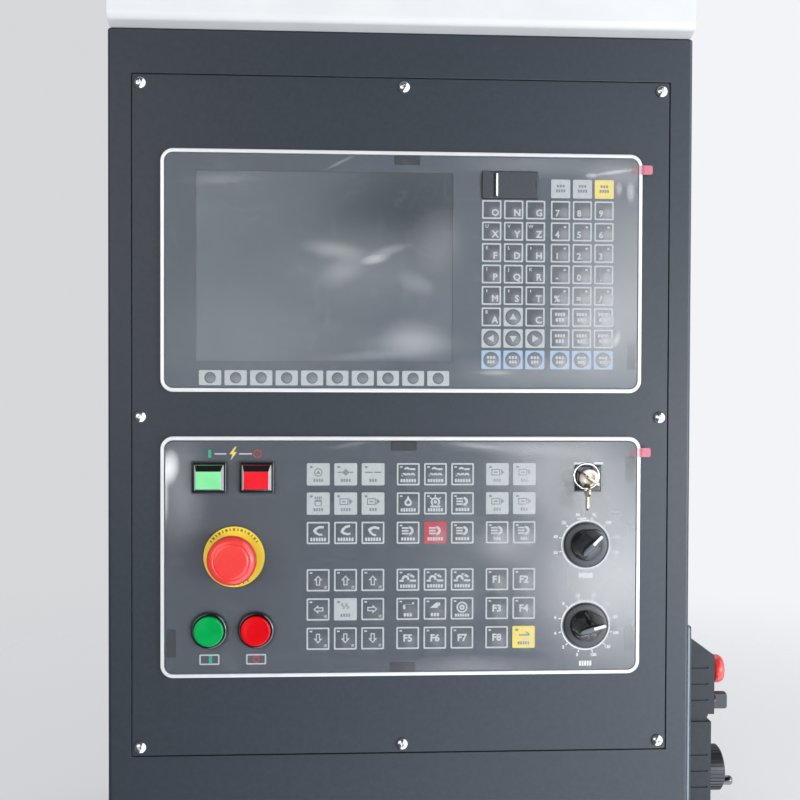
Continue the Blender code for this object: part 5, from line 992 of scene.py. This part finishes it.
swing(spare, hang, "Z", math.radians(90))
place_on(spare, "key_set", brass, "bright_chrome", "spare_key")

# Override knobs: a flat grey skirt and a glossy black pointer body that narrows to a ridge
# and a tip, pushed on the switch shaft. A white pointer line runs down the tip, drawn wide
# and long: partly the knob's own mark, partly a painted highlight for the glint on the tip.
white = surface("white_fill_paint", "eceded", "f6f6f4", 400.0, Roughness=0.45)
skirt_grey = surface("grey_nylon_skirt", "3c3d40", "444548", 400.0, 1200.0, 0.00003, Roughness=0.45)
# The pointer body's steps outwards: rise in mm, scale across and along, and shift to the tip.
RIDGE = [(2.2, 0.97, 0.985, 0.0), (1.6, 0.86, 0.95, 0.3), (3.6, 0.72, 0.95, 0.4), (4.4, 0.64, 0.95, 0.4),
         (3.0, 0.66, 0.95, 0.4), (0.9, 0.66, 0.95, 0.2), (0.3, 0.65, 0.96, 0.1)]
for name, z, angle in (("spindle", KNOB_Z[0], 45), ("feed", KNOB_Z[1], 75)):
    centre = at(KNOB_X, z)
    skirt = turn(name + "_skirt", centre, OUT, [
        (0, 6.1), (13.4, 6.1), (17.1, 6.0), (17.7, 5.7), (18.0, 5.1), (18.0, 3.8), (3.0, 3.8), (3.0, -14.2),
        (0, -14.2)], 72)
    place_on(skirt, name + "_knob", skirt_grey, "black_plastic")
    smooth(skirt, 40)
    bpy.ops.object.select_all(action="DESELECT")
    bpy.ops.mesh.primitive_circle_add(vertices=48, radius=13.2 * MM, fill_type="NGON", location=centre,
                                      rotation=(math.pi / 2, 0, 0))
    bpy.ops.object.transform_apply(location=True, rotation=True, scale=True)
    grip = bpy.context.object
    grip.name = name + "_pointer_body"
    change(grip, "WELD", merge_threshold=0.00001)
    pick(grip, "VERT", lambda p: p.z > centre.z + 9.0 * MM)
    bpy.ops.transform.resize(value=(0.62, 1, 1), center_override=centre)
    bpy.ops.transform.translate(value=(0, 0, 3.4 * MM))
    bpy.ops.mesh.select_all(action="SELECT")
    bpy.ops.transform.translate(value=(0, -6.1 * MM, 0))
    for rise, wide, tall, shift in RIDGE:
        bpy.ops.mesh.extrude_region_move(TRANSFORM_OT_translate={"value": (0, -rise * MM, shift * MM)})
        bpy.ops.transform.resize(value=(wide, 1, tall), center_override=centre)
    bpy.ops.mesh.select_all(action="SELECT")
    bpy.ops.mesh.normals_make_consistent(inside=False)
    bpy.ops.object.mode_set(mode="OBJECT")
    soften(grip, 0.25 * MM, 3)
    swing(grip, centre, "Y", math.radians(angle))
    place_on(grip, name + "_knob", gloss, "black_plastic", name + "_knob")
    # The white line is wider and longer than a pointer mark: part of it is a painted highlight on the tip's
    # ridge.
    line = tile(name + "_pointer", at(KNOB_X - 1.2, z + 3.2, 22.8), at(KNOB_X + 1.2, z + 13.4, 22.0),
                0.5 * MM, 2)
    swing(line, centre, "Y", math.radians(angle))
    soften(line, 0.02 * MM, 1)
    place_on(line, name + "_knob", white, "black_plastic")

# Protective films: clear polyethylene that has gone hazy, one over each unit, laid over
# the rim and the keys and cut out round the controls. Their whiteness also carries painted
# highlights and reflections of the lamps on wrinkles and keys. Red pull tabs at the right edges.
film = surface("hazy_film_and_painted_glare", "eceff3", "f6f8fa", 14.0, Roughness=0.3)
tree, shader, place = insides(film)

# Patches of haze and painted glare: painted highlights and reflections where lamps catch the film,
# and broad patches that whiten it towards the right. Columns: middle x and z, half width, half height, lean
# in degrees, strength.
HAZE_AND_PAINTED_GLARE = [
    (168, -128, 105, 110, 0, 0.26), (188, -150, 80, 120, 0, 0.13), (140, -45, 90, 60, 0, 0.22),
    (84, -108, 34, 24, 0, 0.12), (48, -112, 56, 110, 0, 0.028), (60, -211, 90, 14, 0, 0.09),
    (-192, -44, 10, 18, -8, 0.95), (-197, -66, 6, 36, 0, 0.55), (-182, -60, 28, 60, 0, 0.10),
    (90, -27, 80, 9, -4, 0.12), (62, -26, 30, 3, -6, 0.12), (-40, -24, 34, 3, 12, 0.06),
    (52, 110, 80, 160, 0, 0.012), (180, 201, 44, 16, 0, 0.11), (190, 100, 90, 140, 0, 0.18),
    (165, 70, 60, 60, 0, 0.09), (110, 35, 90, 22, 0, 0.10), (110, 207, 90, 14, 0, 0.07),
    (175, 202, 25, 2.4, 8, 0.26), (156, 199, 7, 3, 0, 0.24), (189, 186, 5, 12, 0, 0.26),
    (179, 188, 4, 8, 0, 0.20), (178, 63, 3.5, 10, -18, 0.22), (76, 35, 20, 3.2, 0, 0.16),
    (-24, 128, 16, 5.5, 12, 0.26), (-13, 135, 24, 5.5, 15, 0.10),
    (-56, 135, 36, 10, -8, 0.12), (-51, 118, 28, 15, 20, 0.09), (-28, 124, 92, 46, 0, 0.06),
    (8, 62, 36, 22, 0, 0.15), (8, 58, 62, 14, 0, 0.07), (29, 143, 30, 36, 0, 0.06),
    (11, 108, 22, 11, -22, 0.07), (-26, 49, 52, 6, 4, 0.06),
    (-53, 207, 18, 2, 27, 0.10), (-120, 60, 130, 80, 0, 0.04), (-150, 192, 40, 6, 3, 0.05)]
# Blocks of keys with painted highlights: low left x and z, pitch across and up, keys across and up, strength.
GLINTS = [(64.5, 36.8, 18.3, 17.76, 3, 8, 0.09), (121.9, 36.8, 18.3, 17.76, 3, 8, 0.11),
          (-169.1, 23.8, 20.83, 12.3, 10, 1, 0.07),
        (-81.4, -110.0, 22.6, 24.25, 3, 3, 0.04), (-81.4, -197.6, 22.6, 24.25, 3, 3, 0.04),
        (-7.1, -110.0, 22.6, 24.25, 3, 3, 0.06), (-7.1, -197.6, 22.6, 24.25, 3, 3, 0.06),
        (67.2, -110.0, 22.6, 24.25, 2, 3, 0.10), (67.2, -197.6, 22.6, 24.25, 2, 3, 0.10)]


def key_glints(tree, place, x, z, wide, tall, across, down, strength):
    """A painted highlight: a soft light patch low right on every key of a block of keys."""
    moved = add(tree, "Mapping", {"vector_type": "TEXTURE"}, {
        "Vector": place, "Location": at(x, z), "Scale": (wide * MM, 1.0, tall * MM)})
    flat = add(tree, "VectorMath", {"operation": "MULTIPLY"}, {0: moved.outputs[0], 1: (1.0, 0.0, 1.0)})
    part = add(tree, "SeparateXYZ", {}, {0: flat.outputs[0]})
    within = []
    for axis, half in (("X", across / 2), ("Z", down / 2)):
        inside = add(tree, "Math", {"operation": "COMPARE"}, {0: part.outputs[axis], 1: half, 2: half})
        within.append(inside.outputs[0])
    cell = add(tree, "VectorMath", {"operation": "FRACTION"}, {0: flat.outputs[0]})
    off = add(tree, "VectorMath", {"operation": "DISTANCE"}, {0: cell.outputs[0], 1: (0.62, 0.0, 0.36)})
    soft = add(tree, "MapRange", {"interpolation_type": "SMOOTHSTEP"}, {
        "Value": off.outputs["Value"], "From Min": 0.05, "From Max": 0.42, "To Min": strength, "To Max": 0.0})
    masked = add(tree, "Math", {"operation": "MULTIPLY"}, {0: soft.outputs[0], 1: within[0]})
    return add(tree, "Math", {"operation": "MULTIPLY"}, {0: masked.outputs[0], 1: within[1]}).outputs[0]


# Thin lines where the crease noise crosses its middle whiten the film: painted highlights along its wrinkles.
# The same noise also bumps the film.
creases = add(tree, "TexNoise", {}, {"Vector": place, "Scale": 16.0, "Detail": 2.0, "Distortion": 1.6})
ridge = add(tree, "Math", {"operation": "SUBTRACT"}, {0: creases.outputs["Fac"], 1: 0.5})
ridge = add(tree, "Math", {"operation": "ABSOLUTE"}, {0: ridge.outputs[0]})
ridge = add(tree, "MapRange", {"interpolation_type": "SMOOTHSTEP"}, {
    "Value": ridge.outputs[0], "From Min": 0.0, "From Max": 0.02, "To Min": 0.014, "To Max": 0.0})
haze_and_glare = 0.022
patches = [soft_spot(tree, place, *spot) for spot in HAZE_AND_PAINTED_GLARE]
glints = [key_glints(tree, place, *keys) for keys in GLINTS]
for part in [ridge.outputs[0]] + patches + glints:
    haze_and_glare = add(tree, "Math", {"operation": "ADD"}, {0: haze_and_glare, 1: part}).outputs[0]
tree.links.new(haze_and_glare, shader.inputs["Alpha"])
bump = add(tree, "Bump", {}, {"Height": creases.outputs["Fac"], "Distance": 0.0015, "Strength": 0.5})
tree.links.new(bump.outputs["Normal"], shader.inputs["Normal"])
dress(film, "display_film", "operator_film")

tab_red = surface("red_adhesive_tape", "e07c90", "ea8c9e", 300.0, Roughness=0.4)
tree, shader, place = insides(tab_red)
across = add(tree, "SeparateXYZ", {}, {"Vector": place})
thin = add(tree, "MapRange", {"interpolation_type": "SMOOTHSTEP"}, {
    "Value": across.outputs["X"], "From Min": 0.196, "From Max": 0.202, "To Min": 0.10, "To Max": 0.85})
tree.links.new(thin.outputs[0], shader.inputs["Alpha"])
dress(tab_red, "display_pull_tab", "operator_pull_tab")

# Pendant: a moulded handwheel unit that hangs on a zinc-plated sheet bracket on the right
# flank, over a black rubber pad. Grip ribs run down its sides, and a waist groove parts its
# two halves.
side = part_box("cabinet_shell")[1].x
nylon = surface("dark_grey_nylon", "25292d", "2d3135", 220.0, 900.0, 0.00008, Roughness=0.5,
                Specular_IOR_Level=0.3)
low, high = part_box("pendant_hanger")
bracket = block("pendant_bracket", low, (low.x + 1.8 * MM, high.y, high.z))
bevel(bracket, 2.0 * MM, 4, along(X))
soften(bracket, 0.3 * MM)
zinc = surface("zinc_plated_sheet", "7c858d", "8c959d", 300.0, 1500.0, 0.00008, Metallic=0.3, Roughness=0.55)
place_on(bracket, "console", zinc, "black_sheet", "pendant_hanger")
pad = block("bracket_pad", (low.x + 1.8 * MM, low.y + 1.0 * MM, low.z + 1.0 * MM),
            (high.x + 0.3 * MM, high.y - 1.0 * MM, high.z - 0.5 * MM))
bevel(pad, 2.0 * MM, 4, along(X))
soften(pad, 0.3 * MM)
place_on(pad, "console", black, "black_sheet")

low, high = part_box("pendant_body")
body = block("pendant_case", low, high)
cut(body, block("lower_step", (low.x + 23.4 * MM, low.y - MM, low.z - MM),
                (high.x + MM, high.y + MM, high.z - 56 * MM)))
bevel(body, 14.0 * MM, 12, lambda a, b: a.z + b.z < 2 * low.z + 1e-6 and a.x + b.x > 2 * low.x + 40 * MM
      and abs(a.x - b.x) < 1e-6)
bevel(body, 4.0 * MM, 6, lambda a, b: a.z + b.z > 2 * high.z - 1e-6 and a.x + b.x > 2 * high.x - 1e-6)
waist = high.z - 59.6 * MM
cut(body, block("waist", (low.x + 20.4 * MM, low.y - MM, waist),
                (high.x + MM, high.y + MM, high.z - 53 * MM)))
for edge in (low.y, high.y):
    cut(body, block("side_groove", (low.x - MM, edge - 2.0 * MM, waist),
                    (high.x + MM, edge + 2.0 * MM, high.z - 54.6 * MM)))
for middle in (high.z - 26.5 * MM, (waist + low.z) / 2):
    for count in (-14, 0, 14):
        for edge in (low.y, high.y):
            cut(body, block("rib", (low.x + 3 * MM, edge - MM, middle + (count - 0.7) * MM),
                            (low.x + 20.4 * MM, edge + MM, middle + (count + 0.7) * MM)))
soften(body, 1.0 * MM, 3)
place_on(body, "console", nylon, "black_plastic", "pendant_body")



def on_flank(node):
    """The middle of a round CAD node, on the cabinet's right flank."""
    near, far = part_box(node)
    return Vector((side, (near.y + far.y) / 2, (near.z + far.z) / 2))


centre = on_flank("pendant_stop_collar")
EAST = (1, 0, 0)
collar = turn("pendant_collar", centre, EAST, [
    (4.3, 29.9), (9.9, 29.9), (10.0, 30.2), (9.2, 33.1), (8.9, 33.4), (4.3, 33.4), (4.3, 29.9)], 48)
place_on(collar, "console", yellow, "warning_yellow", "pendant_stop_collar")
smooth(collar, 40)
head = mushroom("pendant_mushroom", centre, EAST, 12.5, 38.9, 11.2, 4.3, 7.0)
place_on(head, "pendant_stop_head", red, "stop_red", "pendant_stop_head")

for name in ("axis_selector", "step_selector"):
    low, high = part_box(name)
    centre = on_flank(name)
    knob = turn(name + "_knob", centre, EAST, [
        (0, 45.9), (6.2, 45.9), (7.2, 45.4), (7.5, 44.0), (7.5, 32.2), (7.8, 31.9), (9.2, 31.9), (9.5, 31.5),
        (9.5, 29.9), (3.0, 29.9), (3.0, 21.6), (0, 21.6)], 48)
    for sign in (-1, 1):
        edge = centre.y + sign * 7.875 * MM
        cut(knob, block("flat", (side + 35.1 * MM, edge - 3.75 * MM, low.z - MM),
                        (high.x + MM, edge + 3.75 * MM, high.z + MM)))
    soften(knob, 0.2 * MM)
    place_on(knob, name, black, "black_plastic", name)
    line = block(name + "_line", (side + 45.86 * MM, centre.y - 0.4 * MM, centre.z + 1.5 * MM),
                 (side + 45.94 * MM, centre.y + 0.4 * MM, centre.z + 6.0 * MM))
    soften(line, 0.02 * MM, 1)
    place_on(line, name, white, "black_plastic")

# Handwheel: a grey dial with a bevelled edge, a knurled black wheel on the encoder shaft,
# and a small crank knob that spins on its pin.
centre = on_flank("pendant_dial")
grey = surface("grey_dial_abs", "9ea4a8", "acb2b6", 200.0, Roughness=0.4)
dial = turn("wheel_dial", centre, EAST, [
    (6.0, 27.3), (20.8, 27.3), (21.0, 27.5), (21.0, 29.8), (20.0, 31.3), (19.8, 31.5), (6.0, 31.5),
    (6.0, 27.3)], 96)
place_on(dial, "console", grey, "dial_grey", "pendant_dial")
smooth(dial, 30)
wheel = turn("knurled_wheel", centre, EAST,
             [(0, 31.8), (19.3, 31.8), (19.3, 46.4), (17.9, 47.8), (0, 47.8)], 144)
pick(wheel, "FACE", lambda p: abs((p - centre).yz.length - 19.3 * MM) < 0.1 * MM
     and int(math.degrees(math.atan2(p.z - centre.z, p.y - centre.y)) % 360 / 2.5) % 4 in (0, 1))
bpy.ops.mesh.extrude_region_shrink_fatten(TRANSFORM_OT_shrink_fatten={"value": 0.6 * MM})
bpy.ops.object.mode_set(mode="OBJECT")
cut(wheel, turn("dish", centre, EAST, [(0, 46.4), (15.2, 46.4), (16.0, 49), (0, 49)], 64))
shaft = turn("shaft", centre, EAST, [(0, 40), (3.0, 40), (3.0, 15.0), (0, 15.0)], 24)
crank_at = on_flank("crank_knob")
pin = turn("pin", crank_at, EAST, [(0, 56.8), (1.5, 56.8), (1.5, 45.0), (0, 45.0)], 16)
wheel = join("knurled_wheel", [wheel, shaft, pin])
weld(wheel)
soften(wheel, 0.12 * MM)
weld(wheel)
place_on(wheel, "handwheel", black, "black_plastic", "handwheel")
crank = turn("crank_grip", crank_at, EAST, [
    (0, 60.6), (2.4, 60.4), (3.5, 59.8), (4.1, 58.6), (4.2, 57.2), (3.9, 53.0), (3.4, 49.2), (3.28, 48.1),
    (1.8, 48.1), (1.8, 57.1), (0, 57.1)], 32)
place_on(crank, "crank_knob", gloss, "black_plastic", "crank_knob")
smooth(crank, 40)

# Cable gland: a moulded black nylon gland with its clamping nut, screwed into the underside
# of the pendant.
low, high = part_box("pendant_gland")
centre = Vector(((low.x + high.x) / 2, (low.y + high.y) / 2, high.z - 5.7 * MM))
gland = turn("cable_gland", centre, (0, 0, -1), [
    (0, -5.7), (4.5, -5.7), (4.5, 0.3), (5.4, 0.3), (5.8, 0.7), (5.8, 5.9), (5.4, 6.3), (4.8, 9.6),
    (4.3, 12.0), (3.4, 12.0), (3.4, -2.2), (0, -2.2)], 48)
soften(gland, 0.15 * MM)
place_on(gland, "console", black, "black_plastic", "pendant_gland")

# Floor, surroundings and lamps: a pale studio floor that fades into the white round it,
# and large soft lamps in front, at the right and overhead. None of it is part of the console.
world = bpy.data.worlds.new("surroundings")
bpy.context.scene.world = world
world.use_nodes = True
tree = world.node_tree
tree.nodes.clear()
look = add(tree, "SeparateXYZ", {}, {"Vector": add(tree, "TexCoord", {}, {}).outputs["Generated"]})
behind = add(tree, "MapRange", {"interpolation_type": "SMOOTHSTEP"}, {
    "Value": look.outputs["X"], "From Min": -0.2, "From Max": 0.25, "To Min": 0.70, "To Max": 0.93})
tilted = add(tree, "Math", {"operation": "MULTIPLY_ADD"},
             {0: look.outputs["Z"], 1: -0.4, 2: look.outputs["X"]})
room = add(tree, "MapRange", {"interpolation_type": "SMOOTHSTEP"}, {
    "Value": tilted.outputs[0], "From Min": 0.10, "From Max": 0.36, "To Min": 0.12, "To Max": 4.3})
ahead_of = add(tree, "MapRange", {}, {"Value": look.outputs["Y"], "From Min": -0.15, "From Max": 0.15})
rays = add(tree, "LightPath", {}, {})
plain = add(tree, "Math", {"operation": "MAXIMUM"},
            {0: rays.outputs["Is Camera Ray"], 1: ahead_of.outputs[0]})
level_of = add(tree, "Mix", {"data_type": "FLOAT"}, {
    "Factor": plain.outputs[0], 2: room.outputs[0], 3: behind.outputs[0]})
seen = add(tree, "Math", {"operation": "MAXIMUM"},
           {0: rays.outputs["Is Camera Ray"], 1: rays.outputs["Is Glossy Ray"]})
seen = add(tree, "Math", {"operation": "MAXIMUM"},
           {0: seen.outputs[0], 1: rays.outputs["Is Transmission Ray"]})
ambient = add(tree, "Background", {}, {"Color": linear("f4f6fa"), "Strength": 0.50})
tone = add(tree, "Mix", {"data_type": "RGBA"},
           {0: rays.outputs["Is Camera Ray"], 6: linear("e4eefc"), 7: linear("fbfcff")})
shown = add(tree, "Background", {}, {"Color": tone.outputs[2], "Strength": level_of.outputs[0]})
both = add(tree, "MixShader", {}, {0: seen.outputs[0], 1: ambient.outputs[0], 2: shown.outputs[0]})
add(tree, "OutputWorld", {}, {"Surface": both.outputs[0]})

bpy.ops.object.select_all(action="DESELECT")
bpy.ops.mesh.primitive_circle_add(vertices=96, radius=1.6, fill_type="NGON", location=(0, 0, 0))
floor = bpy.context.object
floor.name = "floor"
paint = surface("pale_floor", "f2f4f6", Roughness=0.8)
tree, shader, place = insides(paint)
away = add(tree, "VectorMath", {"operation": "LENGTH"}, {0: place})
fade = add(tree, "MapRange", {"interpolation_type": "SMOOTHSTEP"}, {
    "Value": away.outputs["Value"], "From Min": 0.40, "From Max": 1.3, "To Min": 0.55, "To Max": 0.0})
mirrored = add(tree, "LightPath", {}, {}).outputs["Is Glossy Ray"]
solid = add(tree, "Math", {"operation": "SUBTRACT"}, {0: 1.0, 1: mirrored})
solid = add(tree, "Math", {"operation": "MULTIPLY"}, {0: fade.outputs["Result"], 1: solid.outputs[0]})
tree.links.new(solid.outputs[0], shader.inputs["Alpha"])
floor.data.materials.append(paint)

bpy.context.scene.view_settings.view_transform = "Standard"


def lamp(name, place, aim, size, power):
    """A soft white area lamp that points at a place."""
    light = bpy.data.objects.new(name, bpy.data.lights.new(name, "AREA"))
    bpy.context.scene.collection.objects.link(light)
    light.data.shape = "RECTANGLE"
    light.data.size, light.data.size_y = size
    light.data.energy = power
    light.location = place
    light.rotation_euler = (Vector(aim) - Vector(place)).to_track_quat("-Z", "Y").to_euler()


lamp("front_lamp", (-1.2, -1.8, 0.75), (0, 0, 0.35), (1.6, 1.2), 16)
lamp("right_lamp", (1.15, -1.25, 0.20), (0.2, 0, 0.15), (0.8, 0.5), 14)
lamp("top_lamp", (0.0, 0.9, 2.0), (0, 0, 0.5), (2.0, 1.4), 12)
